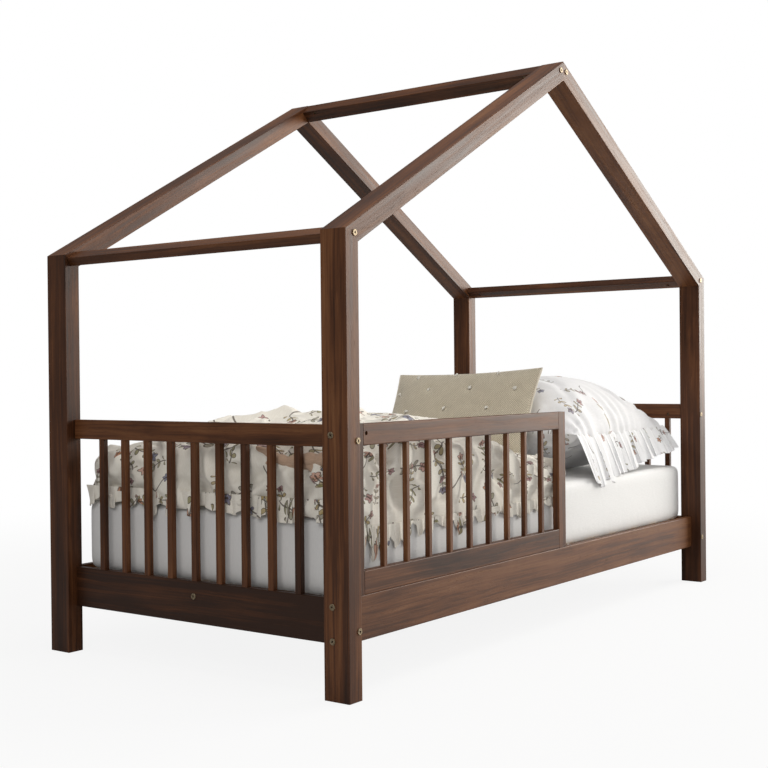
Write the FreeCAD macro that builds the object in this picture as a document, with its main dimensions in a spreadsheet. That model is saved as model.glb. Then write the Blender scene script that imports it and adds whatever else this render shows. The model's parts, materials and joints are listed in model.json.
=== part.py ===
"""House frame bed: two gable frames over the long sides, a slatted foot and head panel,
a side rail on each long side, a part-length guard, a slatted base and its bedding.

The origin is on the floor at the middle of the bed.  +X runs to the head end, +Y to the
far long side and +Z up.  All sizes are millimetres.
"""
import FreeCAD, Part
import math
import os
import re
import Sketcher

DRIVING_SIZES = {
    # overall frame
    "bed_length": 2110,             # over the posts, foot to head
    "bed_width": 1055,              # over the posts, near to far
    "eave_height": 1097,            # outer corner where post and rafter meet
    "ridge_height": 1680,           # top of the gables
    "post_width": 50,               # along the bed
    "post_depth": 75,               # across the bed, also the depth of the rafters
    "rafter_thickness": 50,         # square to the slope
    "edge_round": 2.5,              # eased long edges of the big timbers
    # roof beams
    "ridge_beam_side": 41,          # square beam turned on its corner
    "eaves_beam_width": 45,         # along the slope
    "eaves_beam_thickness": 25,
    "eaves_beam_inset": 35,         # beam centre from the outer face of the post
    # foot and head panels
    "panel_thickness": 20,
    "low_rail_underside": 126,      # also the underside of the side rails
    "low_rail_height": 108,
    "top_rail_top": 642,
    "top_rail_height": 53,
    "end_slat_width": 18,
    "end_slat_thickness": 17,
    "foot_slat_end_gap": 95.5,      # outermost slat to the post
    "head_slat_end_gap": 43.5,
    "slat_round": 2,
    # side rails and guard
    "side_rail_thickness": 22,
    "side_rail_recess": 37,         # outer face behind the outer face of the posts
    "guard_length": 1065,
    "guard_thickness": 22,
    "guard_low_rail_height": 57,
    "guard_top_rail_height": 52,
    "foot_stile_width": 61,
    "head_stile_width": 43,
    "guard_slat_side": 14,
    # wood joints
    "tenon_length": 9,
    "tenon_shoulder": 2.5,
    "guard_tenon_length": 15,
    "guard_tenon_thickness": 12,
    "guard_tenon_shoulder": 8,
    "tenon_fit": 0.15,
    "dowel_radius": 4,
    "dowel_length": 36,
    "dowel_fit": 0.05,
    "mitre_dowel_inset": 19,        # from the outer corner, along the mitre
    "apex_dowel_rise": 14,          # above the inner corner of the gable
    # bolts and barrel nuts
    "bolt_radius": 3,
    "bolt_length": 130,             # under the head
    "bolt_head_radius": 8,
    "bolt_head_height": 2.4,
    "bolt_socket": 5,               # across flats
    "bolt_fit": 0.3,
    "nut_reach": 122,               # barrel nut from the underside of the bolt head
    "nut_radius": 5,
    "nut_length": 14,
    "nut_fit": 0.2,
    "top_bolt_rise": 16,            # above the underside of the top rail
    "top_dowel_rise": 38,
    "low_bolt_rise": 36,            # above the underside of the low rail
    "low_dowel_rise": 74,
    "side_bolt_inset": 14,          # from the lower and the upper edge of the side rail
    "guard_bolt_drop": 23,          # below the top of the guard
    "ridge_bolt_offset": 16.5,
    # bed base
    "ledger_width": 20,
    "ledger_height": 30,
    "ledger_end_gap": 5,
    "beam_width": 40,
    "beam_height": 30,
    "base_slat_width": 70,
    "base_slat_thickness": 12,
    "base_slat_pitch": 155,
    "base_slat_gap": 2,             # slat end to side rail
    "base_top": 222,                # top of the base slats
    "screw_radius": 2,
    "screw_head_radius": 4,
    "screw_length": 30,
    "screw_fit": 0.1,
    "centre_screw_offset": 12,      # clear of the bolts in the centre beam
    # bedding
    "soft_gap": 0.3,
    "mattress_side_gap": 13.5,      # clear of the side rails and the guard
    "mattress_foot_gap": 20,
    "mattress_thickness": 198,
    "mattress_head_gap": 5,
    "mattress_round": 32,
    "duvet_side_drop": 65,
    "duvet_foot_drop": 28,
    "duvet_side_thickness": 9.5,
    "duvet_foot_thickness": 17,
    "duvet_pillow_gap": 89,         # end of the duvet to the foot of the pillow
    "duvet_crown": 236,             # highest point above the mattress
    "duvet_fold": 7,                # rise and fall of its soft folds
    "duvet_corner": 120,            # rounding of its corners at the pillow end
    "pillow_length": 690,
    "pillow_width": 650,
    "pillow_crown": 330,
    "pillow_seam_height": 140,
    "pillow_head_gap": 25,
    "pillow_near_gap": 55,          # seam in from the near edge of the mattress
    "ruffle_reach": 34,             # hem out from the seam
    "ruffle_drop": 90,              # hem below the seam at the head end
    "ruffle_thickness": 5,
    "ruffle_wave": 9,
    "cushion_width": 570,
    "cushion_height": 330,
    "cushion_thickness": 112,
    "cushion_lean": 33,             # degrees back from upright
    "cushion_foot_gap": 122,        # lower edge to the foot of the pillow
    "cushion_foot_rise": 65.7,      # lower edge above the mattress
    "cushion_shift": 15,            # centre towards the far side
    "tuft_spacing": 178,
    "tuft_radius": 16,
}
GUARD_SLATS = 9
BASE_SLATS = 13
NEAR, FAR = -1, 1
FOOT, HEAD = -1, 1
END_NAME = {FOOT: "foot", HEAD: "head"}
PANEL_SLATS = {FOOT: 9, HEAD: 11}
SIDE_NAME = {NEAR: "near", FAR: "far"}

doc = FreeCAD.newDocument("house_frame_bed")
sizes = doc.addObject("Spreadsheet::Sheet", "Sizes")
for row, (alias, value) in enumerate(DRIVING_SIZES.items(), start=1):
    sizes.set("A%d" % row, alias)
    sizes.set("B%d" % row, str(value))
    sizes.setAlias("B%d" % row, alias)
doc.recompute()

ALIASES = re.compile(r"(?<!\.)\b(" + "|".join(sorted(DRIVING_SIZES, key=len, reverse=True)) + r")\b")

# ---- places that several pieces share, written as formulas of the driving sizes
HALF_LENGTH = "(bed_length / 2)"
HALF_WIDTH = "(bed_width / 2)"
INNER_X = "(bed_length / 2 - post_width)"
INNER_Y = "(bed_width / 2 - post_depth)"
PITCH = "atan((ridge_height - eave_height) / (bed_length / 2))"
MITRE_LOW = f"(eave_height + post_width * tan({PITCH}) - rafter_thickness / cos({PITCH}))"
APEX_LOW = f"(ridge_height - rafter_thickness / cos({PITCH}))"
PANEL_X = f"({INNER_X} + panel_thickness / 2)"
SIDE_RAIL_Y = "(bed_width / 2 - side_rail_recess - side_rail_thickness / 2)"
SIDE_RAIL_INNER_Y = "(bed_width / 2 - side_rail_recess - side_rail_thickness)"
GUARD_Y = "(bed_width / 2 - side_rail_recess - guard_thickness / 2)"
LOW_RAIL_TOP = "(low_rail_underside + low_rail_height)"
TOP_RAIL_UNDERSIDE = "(top_rail_top - top_rail_height)"
GUARD_LOW_TOP = f"({LOW_RAIL_TOP} + guard_low_rail_height)"
GUARD_TOP_UNDERSIDE = "(top_rail_top - guard_top_rail_height)"
GUARD_CLEAR = "(guard_length - foot_stile_width - head_stile_width)"
RIDGE_CORNER = "(ridge_beam_side * sqrt(2) / 2)"
RIDGE_Z = f"(ridge_height - {RIDGE_CORNER})"
EAVES_X = "(bed_length / 2 - eaves_beam_inset)"
EAVES_Z = (f"(eave_height + eaves_beam_inset * tan({PITCH})"
           f" - rafter_thickness / 2 / cos({PITCH}))")
BEAM_TOP = "(base_top - base_slat_thickness)"
BEAM_Z = f"({BEAM_TOP} - beam_height / 2)"


def formula(text):
    """The text with every size name pointing at its cell."""
    return ALIASES.sub(r"Sizes.\1", str(text))


def number(text):
    """The present value of a formula."""
    value = sizes.evalExpression(formula(text))
    return float(getattr(value, "Value", value))


def signed(sign, text):
    return f"({sign} * {text})"


# ---------------------------------------------------------------- features
AXES = {"x": FreeCAD.Vector(1, 0, 0), "y": FreeCAD.Vector(0, 1, 0), "z": FreeCAD.Vector(0, 0, 1)}
pieces = []


def new_body(name):
    body = doc.addObject("PartDesign::Body", name)
    pieces.append(body)
    return body


def bind_place(item, place):
    for letter, text in zip("xyz", place):
        item.setExpression(".Placement.Base." + letter, formula(text))


def box(body, low, dims, kind="Additive", name="block"):
    """A block of the body from its low corner."""
    block = body.newObject(f"PartDesign::{kind}Box", name)
    for side, text in zip(("Length", "Width", "Height"), dims):
        block.setExpression(side, formula(text))
    bind_place(block, low)
    return block


def outline(body, corners, start_y, depth):
    """A prism whose XZ outline has the given corners, from start_y towards -Y."""
    sketch = body.newObject("Sketcher::SketchObject", "outline")
    plane = next(f for f in body.Origin.OriginFeatures if f.Role == "XZ_Plane")
    sketch.AttachmentSupport = [(plane, "")]
    sketch.MapMode = "FlatFace"
    sketch.setExpression(".AttachmentOffset.Base.z", formula(signed(-1, start_y)))
    points = [FreeCAD.Vector(number(x), number(z), 0) for x, z in corners]
    for index, point in enumerate(points):
        sketch.addGeometry(Part.LineSegment(point, points[(index + 1) % len(points)]))
    for index in range(len(points)):
        following = (index + 1) % len(points)
        sketch.addConstraint(Sketcher.Constraint("Coincident", index, 2, following, 1))
    for index, (point, corner) in enumerate(zip(points, corners)):
        for kind, value, text in zip(("DistanceX", "DistanceY"), point, corner):
            place = sketch.addConstraint(Sketcher.Constraint(kind, -1, 1, index, 1, value))
            sketch.setExpression("Constraints[%d]" % place, formula(text))
    pad = body.newObject("PartDesign::Pad", "prism")
    pad.Profile = sketch
    pad.setExpression("Length", formula(depth))
    return pad


def ease(body, along, radius="edge_round"):
    """Round the long edges that run along a direction."""
    doc.recompute()
    tip = body.Tip
    reach = max(edge.Length for edge in tip.Shape.Edges)
    names = []
    for index, edge in enumerate(tip.Shape.Edges, start=1):
        run = edge.lastVertex().Point - edge.firstVertex().Point
        lined_up = abs(run.normalize().dot(along)) > 0.999
        if lined_up and edge.Length > reach / 2:
            names.append("Edge%d" % index)
    fillet = body.newObject("PartDesign::Fillet", "eased")
    fillet.Base = (tip, names)
    fillet.setExpression("Radius", formula(radius))
    return fillet


def turned(direction):
    """The turn that takes +Z to a direction."""
    return FreeCAD.Rotation(AXES["z"], direction)


def bore(body, start, direction, radius, depth, name="bore"):
    """A round hole from a start point along a direction."""
    hole = body.newObject("PartDesign::SubtractiveCylinder", name)
    hole.Placement = FreeCAD.Placement(FreeCAD.Vector(), turned(direction))
    hole.setExpression("Radius", formula(radius))
    hole.setExpression("Height", formula(depth))
    bind_place(hole, start)
    return hole


def repeat(body, features, axis, step, count):
    """Copies of features in a row along an axis of the body."""
    row_axis = next(f for f in body.Origin.OriginFeatures if f.Role == axis.upper() + "_Axis")
    copies = body.newObject("PartDesign::LinearPattern", "row")
    copies.Originals = features
    copies.Direction = (row_axis, [""])
    copies.setExpression("Length", formula(f"{step} * {count - 1}"))
    copies.Occurrences = count
    body.Tip = copies
    return copies


def step_from(place, direction, distance):
    """The formulas of a point a distance away along a direction."""
    parts = zip(place, direction)
    return tuple(f"({text} + {round(share, 9)} * ({distance}))" for text, share in parts)


# ---------------------------------------------------------------- frame timbers
def post(end, side):
    """Floor to eave, mitred at the top to meet the rafter."""
    body = new_body(f"post_{END_NAME[end]}_{SIDE_NAME[side]}")
    outer = signed(end, HALF_LENGTH)
    inner = signed(end, INNER_X)
    start = HALF_WIDTH if side == FAR else signed(NEAR, INNER_Y)
    corners = [(outer, "0"), (inner, "0"), (inner, MITRE_LOW), (outer, "eave_height")]
    outline(body, corners, start, "post_depth")
    ease(body, AXES["z"])
    return body


def rafter(end, side):
    """Eave to apex; the two of a gable meet in an upright seam."""
    body = new_body(f"rafter_{END_NAME[end]}_{SIDE_NAME[side]}")
    start = HALF_WIDTH if side == FAR else signed(NEAR, INNER_Y)
    corners = [
        (signed(end, HALF_LENGTH), "eave_height"),
        (signed(end, INNER_X), MITRE_LOW),
        ("0", APEX_LOW),
        ("0", "ridge_height"),
    ]
    outline(body, corners, start, "post_depth")
    slope = math.radians(number(PITCH))
    ease(body, FreeCAD.Vector(math.cos(slope), 0, -end * math.sin(slope)))
    return body


def ridge_beam():
    """Square beam on its corner between the two gables, its top edge at the apex."""
    body = new_body("ridge_beam")
    corners = [
        ("0", f"{RIDGE_Z} - {RIDGE_CORNER}"),
        (RIDGE_CORNER, RIDGE_Z),
        ("0", f"{RIDGE_Z} + {RIDGE_CORNER}"),
        (signed(-1, RIDGE_CORNER), RIDGE_Z),
    ]
    outline(body, corners, INNER_Y, f"2 * {INNER_Y}")
    ease(body, AXES["y"])
    return body


def eaves_beam(end):
    """Flat beam in the plane of the roof, between the two gables at the eaves."""
    body = new_body(f"eaves_beam_{END_NAME[end]}")
    corners = []
    for along, square in ((-1, -1), (1, -1), (1, 1), (-1, 1)):
        inward = (f"({along} * eaves_beam_width / 2 * cos({PITCH})"
                  f" - {square} * eaves_beam_thickness / 2 * sin({PITCH}))")
        rise = (f"({along} * eaves_beam_width / 2 * sin({PITCH})"
                f" + {square} * eaves_beam_thickness / 2 * cos({PITCH}))")
        corners.append((signed(end, f"({EAVES_X} - {inward})"), f"{EAVES_Z} + {rise}"))
    outline(body, corners, INNER_Y, f"2 * {INNER_Y}")
    ease(body, AXES["y"])
    return body


# ---------------------------------------------------------------- foot and head panels
def slat_y(end, index):
    """Middle of a slat: they are spread evenly between the end gaps at the posts."""
    share = 2 * index / (PANEL_SLATS[end] - 1) - 1
    return f"({share} * ({INNER_Y} - {END_NAME[end]}_slat_end_gap - end_slat_width / 2))"


def mortise(body, low, dims):
    """A pocket one fit wider than the tenon all round."""
    roomy_low = [f"{text} - tenon_fit" for text in low]
    roomy_dims = [f"{text} + 2 * tenon_fit" for text in dims]
    return box(body, roomy_low, roomy_dims, "Subtractive", "mortise")


def end_rail(end, level):
    """Top or low rail of a panel, mortised for the slats."""
    body = new_body(f"{END_NAME[end]}_{level}_rail")
    if level == "top":
        underside, height, mouth = TOP_RAIL_UNDERSIDE, "top_rail_height", TOP_RAIL_UNDERSIDE
    else:
        underside, height, mouth = "low_rail_underside", "low_rail_height", None
    low_x = f"({signed(end, PANEL_X)} - panel_thickness / 2)"
    box(body, (low_x, signed(-1, INNER_Y), underside), ("panel_thickness", f"2 * {INNER_Y}", height))
    ease(body, AXES["y"])
    pocket_z = mouth if mouth else f"({LOW_RAIL_TOP} - tenon_length)"
    width = "(end_slat_width - 2 * tenon_shoulder)"
    thickness = "(end_slat_thickness - 2 * tenon_shoulder)"
    low = (f"({signed(end, PANEL_X)} - {thickness} / 2)", f"({slat_y(end, 0)} - {width} / 2)", pocket_z)
    pocket = mortise(body, low, (thickness, width, "tenon_length"))
    repeat(body, [pocket], "y", f"({slat_y(end, 1)} - {slat_y(end, 0)})", PANEL_SLATS[end])
    return body


def foot_slat(index):
    """Square slat with a tenon at each end, built upright at its own origin."""
    body = new_body(f"foot_slat_{index + 1}")
    height = f"({TOP_RAIL_UNDERSIDE} - {LOW_RAIL_TOP})"
    box(body, ("-end_slat_thickness / 2", "-end_slat_width / 2", "0"),
        ("end_slat_thickness", "end_slat_width", height))
    ease(body, AXES["z"], "slat_round")
    width = "(end_slat_width - 2 * tenon_shoulder)"
    thickness = "(end_slat_thickness - 2 * tenon_shoulder)"
    box(body, (f"-{thickness} / 2", f"-{width} / 2", "-tenon_length"),
        (thickness, width, f"{height} + 2 * tenon_length"), name="tenon")
    bind_place(body, (signed(FOOT, PANEL_X), slat_y(FOOT, index), LOW_RAIL_TOP))
    return body


def head_slats(pattern):
    """Slats of the same pattern as the foot's, set closer."""
    solid = pattern.Shape.Solids[0]
    slats = []
    for index in range(PANEL_SLATS[HEAD]):
        place = point((PANEL_X, slat_y(HEAD, index), LOW_RAIL_TOP))
        slats.append(solid.translated(place - pattern.Placement.Base))
    return Part.makeCompound(slats)


# ---------------------------------------------------------------- side rails and guard
def side_rail(side):
    body = new_body(f"side_rail_{SIDE_NAME[side]}")
    low_y = f"({signed(side, SIDE_RAIL_Y)} - side_rail_thickness / 2)"
    box(body, (signed(-1, INNER_X), low_y, "low_rail_underside"),
        (f"2 * {INNER_X}", "side_rail_thickness", "low_rail_height"))
    ease(body, AXES["x"])
    return body


GUARD_FACE_Y = f"({signed(NEAR, GUARD_Y)} - guard_thickness / 2)"
GUARD_RAILS = {
    "low": (LOW_RAIL_TOP, "guard_low_rail_height"),
    "top": (GUARD_TOP_UNDERSIDE, "guard_top_rail_height"),
}


def guard_tenon(level, low_x, length):
    """Corner and sizes of the tenon of a guard rail."""
    underside, height = GUARD_RAILS[level]
    low = (low_x, f"({signed(NEAR, GUARD_Y)} - guard_tenon_thickness / 2)",
           f"({underside} + guard_tenon_shoulder)")
    return low, (length, "guard_tenon_thickness", f"({height} - 2 * guard_tenon_shoulder)")


def guard_stile(end):
    """Upright at one end of the guard, full height, mortised for both rails."""
    body = new_body(f"guard_stile_{END_NAME[end]}")
    width = "foot_stile_width" if end == FOOT else "head_stile_width"
    low_x = f"(-{INNER_X})" if end == FOOT else f"(-{INNER_X} + guard_length - head_stile_width)"
    box(body, (low_x, GUARD_FACE_Y, LOW_RAIL_TOP),
        (width, "guard_thickness", f"top_rail_top - {LOW_RAIL_TOP}"))
    ease(body, AXES["z"])
    mouth = f"({low_x} + {width} - guard_tenon_length)" if end == FOOT else low_x
    for level in GUARD_RAILS:
        mortise(body, *guard_tenon(level, mouth, "guard_tenon_length"))
    return body


def guard_slat_x(index):
    gap = f"(({GUARD_CLEAR} - {GUARD_SLATS} * guard_slat_side) / {GUARD_SLATS + 1})"
    return f"(-{INNER_X} + foot_stile_width + {index + 1} * {gap} + ({index} + 0.5) * guard_slat_side)"


def guard_rail(level):
    """Rail between the stiles, tenoned into both and mortised for the slats."""
    body = new_body(f"guard_{level}_rail")
    underside, height = GUARD_RAILS[level]
    low_x = f"(-{INNER_X} + foot_stile_width)"
    box(body, (low_x, GUARD_FACE_Y, underside), (GUARD_CLEAR, "guard_thickness", height))
    ease(body, AXES["x"])
    length = f"({GUARD_CLEAR} + 2 * guard_tenon_length)"
    box(body, *guard_tenon(level, f"({low_x} - guard_tenon_length)", length), name="tenon")
    side = "(guard_slat_side - 2 * tenon_shoulder)"
    pocket_z = underside if level == "top" else f"({GUARD_LOW_TOP} - tenon_length)"
    low = (f"({guard_slat_x(0)} - {side} / 2)", f"({signed(NEAR, GUARD_Y)} - {side} / 2)", pocket_z)
    pocket = mortise(body, low, (side, side, "tenon_length"))
    pitch = f"({guard_slat_x(1)} - {guard_slat_x(0)})"
    repeat(body, [pocket], "x", pitch, GUARD_SLATS)
    return body


def guard_slat(index):
    body = new_body(f"guard_slat_{index + 1}")
    height = f"({GUARD_TOP_UNDERSIDE} - {GUARD_LOW_TOP})"
    box(body, ("-guard_slat_side / 2", "-guard_slat_side / 2", "0"),
        ("guard_slat_side", "guard_slat_side", height))
    ease(body, AXES["z"], "slat_round")
    side = "(guard_slat_side - 2 * tenon_shoulder)"
    box(body, (f"-{side} / 2", f"-{side} / 2", "-tenon_length"),
        (side, side, f"{height} + 2 * tenon_length"), name="tenon")
    bind_place(body, (guard_slat_x(index), signed(NEAR, GUARD_Y), GUARD_LOW_TOP))
    return body


# ---------------------------------------------------------------- bed base
LEDGER_Z = f"({BEAM_TOP} - ledger_height / 2)"
LEDGER_INNER_Y = f"({SIDE_RAIL_INNER_Y} - ledger_width)"
FIRST_SLAT_X = f"({(1 - BASE_SLATS) / 2} * base_slat_pitch)"
FIRST_GAP_X = f"({FIRST_SLAT_X} + base_slat_pitch / 2)"
SCREW_BORE = "screw_radius + screw_fit"


def ledger(side):
    """Strip screwed to the inside of a side rail; the base slats rest on it."""
    body = new_body(f"slat_ledger_{SIDE_NAME[side]}")
    middle_y = f"({SIDE_RAIL_INNER_Y} - ledger_width / 2)"
    low = (f"(-{INNER_X} + ledger_end_gap)", f"({signed(side, middle_y)} - ledger_width / 2)",
           f"({BEAM_TOP} - ledger_height)")
    box(body, low, (f"2 * ({INNER_X} - ledger_end_gap)", "ledger_width", "ledger_height"))
    ease(body, AXES["x"], "slat_round")
    outward = FreeCAD.Vector(0, side, 0)
    across = bore(body, (FIRST_GAP_X, signed(side, LEDGER_INNER_Y), LEDGER_Z), outward,
                  SCREW_BORE, "ledger_width")
    sink = countersink(body, (FIRST_GAP_X, signed(side, LEDGER_INNER_Y), LEDGER_Z), outward)
    repeat(body, [across, sink], "x", "base_slat_pitch", BASE_SLATS - 1)
    down = bore(body, (FIRST_SLAT_X, signed(side, middle_y), BEAM_TOP), FreeCAD.Vector(0, 0, -1),
                SCREW_BORE, "screw_length - base_slat_thickness + screw_fit")
    repeat(body, [down], "x", "base_slat_pitch", BASE_SLATS)
    return body


def countersink(body, start, direction):
    """A cone for a flat screw head, its wide end at the start point."""
    sink = body.newObject("PartDesign::SubtractiveCone", "countersink")
    sink.Placement = FreeCAD.Placement(FreeCAD.Vector(), turned(direction))
    sink.setExpression("Radius1", formula("screw_head_radius + screw_fit"))
    sink.setExpression("Radius2", formula(SCREW_BORE))
    sink.setExpression("Height", formula("screw_head_radius - screw_radius"))
    bind_place(sink, start)
    return sink


def ledger_holes_in_rail(body, side):
    """Pilot holes of the ledger screws."""
    start = (FIRST_GAP_X, signed(side, SIDE_RAIL_INNER_Y), LEDGER_Z)
    pilot = bore(body, start, FreeCAD.Vector(0, side, 0), SCREW_BORE,
                 "screw_length - ledger_width + screw_fit")
    repeat(body, [pilot], "x", "base_slat_pitch", BASE_SLATS - 1)


def centre_beam():
    """Beam under the middle of the slats, bolted between the two low rails."""
    body = new_body("centre_beam")
    box(body, (f"-{INNER_X}", "-beam_width / 2", f"{BEAM_TOP} - beam_height"),
        (f"2 * {INNER_X}", "beam_width", "beam_height"))
    ease(body, AXES["x"])
    down = bore(body, (FIRST_SLAT_X, "centre_screw_offset", BEAM_TOP), FreeCAD.Vector(0, 0, -1),
                SCREW_BORE, "screw_length - base_slat_thickness + screw_fit")
    repeat(body, [down], "x", "base_slat_pitch", BASE_SLATS)
    return body


# ---------------------------------------------------------------- build the wood
posts = {(end, side): post(end, side) for end in (FOOT, HEAD) for side in (NEAR, FAR)}
rafters = {(end, side): rafter(end, side) for end in (FOOT, HEAD) for side in (NEAR, FAR)}
ridge = ridge_beam()
eaves_beams = {end: eaves_beam(end) for end in (FOOT, HEAD)}
end_rails = {(end, level): end_rail(end, level) for end in (FOOT, HEAD) for level in ("top", "low")}
foot_slats = [foot_slat(index) for index in range(PANEL_SLATS[FOOT])]
side_rails = {side: side_rail(side) for side in (NEAR, FAR)}
guard_stiles = {end: guard_stile(end) for end in (FOOT, HEAD)}
guard_rails = {level: guard_rail(level) for level in GUARD_RAILS}
for index in range(GUARD_SLATS):
    guard_slat(index)
for side in (NEAR, FAR):
    ledger(side)
    ledger_holes_in_rail(side_rails[side], side)
beam = centre_beam()

# ---------------------------------------------------------------- fixings
# Each joint is set out once: it cuts every piece that it passes through and notes the
# place of its bolt, barrel nut or dowel.
X_AXIS, Y_AXIS, Z_AXIS = AXES["x"], AXES["y"], AXES["z"]
bolts, nuts, dowels = [], [], []


def bolt_joint(through, head_place, direction, nut_way, nut_cover):
    """A bolt through the pieces into a barrel nut in the last one.

    nut_way is the direction in which the nut is pushed in, and nut_cover the distance
    from the open end of its bore to the line of the bolt."""
    for body in through:
        bore(body, head_place, direction, "bolt_radius + bolt_fit", "bolt_length + bolt_radius")
    centre = step_from(head_place, direction, "nut_reach")
    mouth = step_from(centre, nut_way * -1, nut_cover)
    bore(through[-1], mouth, nut_way, "nut_radius + nut_fit", f"{nut_cover} + nut_length / 2 + nut_fit")
    bolts.append((head_place, direction))
    nuts.append((centre, direction, nut_way))


def dowel_joint(through, centre, direction):
    """A dowel across the meeting faces of two pieces."""
    start = step_from(centre, direction * -1, "(dowel_length / 2 + dowel_fit)")
    for body in through:
        bore(body, start, direction, "dowel_radius + dowel_fit", "dowel_length + 2 * dowel_fit")
    dowels.append((centre, direction))


def panel_joints(end, side):
    """Both rails of a panel to one post."""
    undersides = {"top": TOP_RAIL_UNDERSIDE, "low": "low_rail_underside"}
    for level, underside in undersides.items():
        bolt_height = f"({underside} + {level}_bolt_rise)"
        dowel_height = f"({underside} + {level}_dowel_rise)"
        through = [posts[end, side], end_rails[end, level]]
        head = (signed(end, PANEL_X), signed(side, HALF_WIDTH), bolt_height)
        bolt_joint(through, head, Y_AXIS * -side, X_AXIS * end, "(panel_thickness / 2)")
        meeting = (signed(end, PANEL_X), signed(side, INNER_Y), dowel_height)
        dowel_joint(through, meeting, Y_AXIS)


def side_rail_joint(end, side):
    """The near rail comes off: two bolts and a dowel. The far one is fixed by three dowels."""
    through = [posts[end, side], side_rails[side]]
    for height in ("(low_rail_underside + side_bolt_inset)", f"({LOW_RAIL_TOP} - side_bolt_inset)"):
        if side == NEAR:
            head = (signed(end, HALF_LENGTH), signed(side, SIDE_RAIL_Y), height)
            bolt_joint(through, head, X_AXIS * -end, Y_AXIS * side, "(side_rail_thickness / 2)")
        else:
            dowel_joint(through, (signed(end, INNER_X), signed(side, SIDE_RAIL_Y), height), X_AXIS)
    middle = "(low_rail_underside + low_rail_height / 2)"
    dowel_joint(through, (signed(end, INNER_X), signed(side, SIDE_RAIL_Y), middle), X_AXIS)


def gable_joints(end, side):
    """Post to rafter by dowels across the mitre; rafter to eaves beam and ridge beam."""
    outer = (number(signed(end, HALF_LENGTH)), number("eave_height"))
    inner = (number(signed(end, INNER_X)), number(MITRE_LOW))
    along = FreeCAD.Vector(inner[0] - outer[0], 0, inner[1] - outer[1])
    along.normalize()
    square = FreeCAD.Vector(-along.z, 0, along.x)
    if square.z < 0:
        square = square * -1
    corner = (signed(end, HALF_LENGTH), "0", "eave_height")
    middle_y = "((bed_width - post_depth) / 2)"
    for share in (-1, 1):
        place = step_from(corner, along, "mitre_dowel_inset")
        place = (place[0], f"({signed(side, middle_y)} + {share} * post_depth / 4)", place[2])
        dowel_joint([posts[end, side], rafters[end, side]], place, square)

    slope = math.radians(number(PITCH))
    rise = FreeCAD.Vector(-end * math.cos(slope), 0, math.sin(slope))
    lift = FreeCAD.Vector(end * math.sin(slope), 0, math.cos(slope))
    head = (signed(end, EAVES_X), signed(side, HALF_WIDTH), EAVES_Z)
    through = [rafters[end, side], eaves_beams[end]]
    bolt_joint(through, head, Y_AXIS * -side, lift, "(eaves_beam_thickness / 2)")
    meeting = (signed(end, EAVES_X), signed(side, INNER_Y), EAVES_Z)
    dowel_joint(through, step_from(meeting, rise, "(eaves_beam_width / 3)"), Y_AXIS)

    head = (signed(end, "ridge_bolt_offset"), signed(side, HALF_WIDTH), RIDGE_Z)
    inward = FreeCAD.Vector(-end, 0, 1).normalize()
    cover = f"(({RIDGE_CORNER} - ridge_bolt_offset) / sqrt(2))"
    bolt_joint([rafters[end, side], ridge], head, Y_AXIS * -side, inward, cover)


def apex_joint(side):
    """Two dowels across the upright seam of a gable, under the ridge bolts."""
    middle_y = "((bed_width - post_depth) / 2)"
    for share in (-1, 1):
        place = ("0", f"({signed(side, middle_y)} + {share} * post_depth / 4)",
                 f"({APEX_LOW} + apex_dowel_rise)")
        dowel_joint([rafters[FOOT, side], rafters[HEAD, side]], place, X_AXIS)


def guard_joints():
    """The guard is bolted through the foot post and stands on dowels in the side rail."""
    head = (signed(FOOT, HALF_LENGTH), signed(NEAR, GUARD_Y), "(top_rail_top - guard_bolt_drop)")
    through = [posts[FOOT, NEAR], guard_stiles[FOOT], guard_rails["top"]]
    bolt_joint(through, head, X_AXIS, Y_AXIS, "(guard_thickness / 2)")
    standing = [
        (guard_rails["low"], f"(-{INNER_X} + guard_length / 8)"),
        (guard_rails["low"], f"(-{INNER_X} + guard_length / 2)"),
        (guard_stiles[HEAD], f"(-{INNER_X} + guard_length - head_stile_width / 2)"),
    ]
    for body, place_x in standing:
        dowel_joint([side_rails[NEAR], body], (place_x, signed(NEAR, GUARD_Y), LOW_RAIL_TOP), Z_AXIS)


def beam_joint(end):
    head = (f"{signed(end, INNER_X)} + {end} * panel_thickness", "0", BEAM_Z)
    bolt_joint([end_rails[end, "low"], beam], head, X_AXIS * -end, Z_AXIS, "(beam_height / 2)")


for end in (FOOT, HEAD):
    for side in (NEAR, FAR):
        panel_joints(end, side)
        side_rail_joint(end, side)
        gable_joints(end, side)
    beam_joint(end)
for side in (NEAR, FAR):
    apex_joint(side)
guard_joints()


def new_feature(name, shape):
    """A piece whose shape is worked out from the sheet."""
    feature = doc.addObject("Part::Feature", name)
    feature.Shape = shape
    feature.Placement = FreeCAD.Placement()
    pieces.append(feature)
    return feature


def point(place):
    return FreeCAD.Vector(*[number(text) for text in place])


def connector_bolt(place, direction):
    """Flat round head with a hexagon socket, standing proud of the timber."""
    radius, head_radius = number("bolt_radius"), number("bolt_head_radius")
    head_height, length = number("bolt_head_height"), number("bolt_length")
    shank = Part.makeCylinder(radius, length)
    head = Part.makeCylinder(head_radius, head_height, FreeCAD.Vector(0, 0, -head_height))
    rim = [edge for edge in head.Edges if edge.BoundBox.ZMax < -head_height / 2]
    head = head.makeFillet(head_height / 3, rim)
    corner = number("bolt_socket") / math.sqrt(3)
    turns = [math.radians(60 * step) for step in range(7)]
    hexagon = [FreeCAD.Vector(corner * math.cos(a), corner * math.sin(a), -head_height) for a in turns]
    socket = Part.Face(Part.makePolygon(hexagon)).extrude(FreeCAD.Vector(0, 0, head_height + radius))
    bolt = shank.fuse(head).removeSplitter().cut(socket)
    bolt.Placement = FreeCAD.Placement(point(place), turned(direction))
    return bolt


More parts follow.
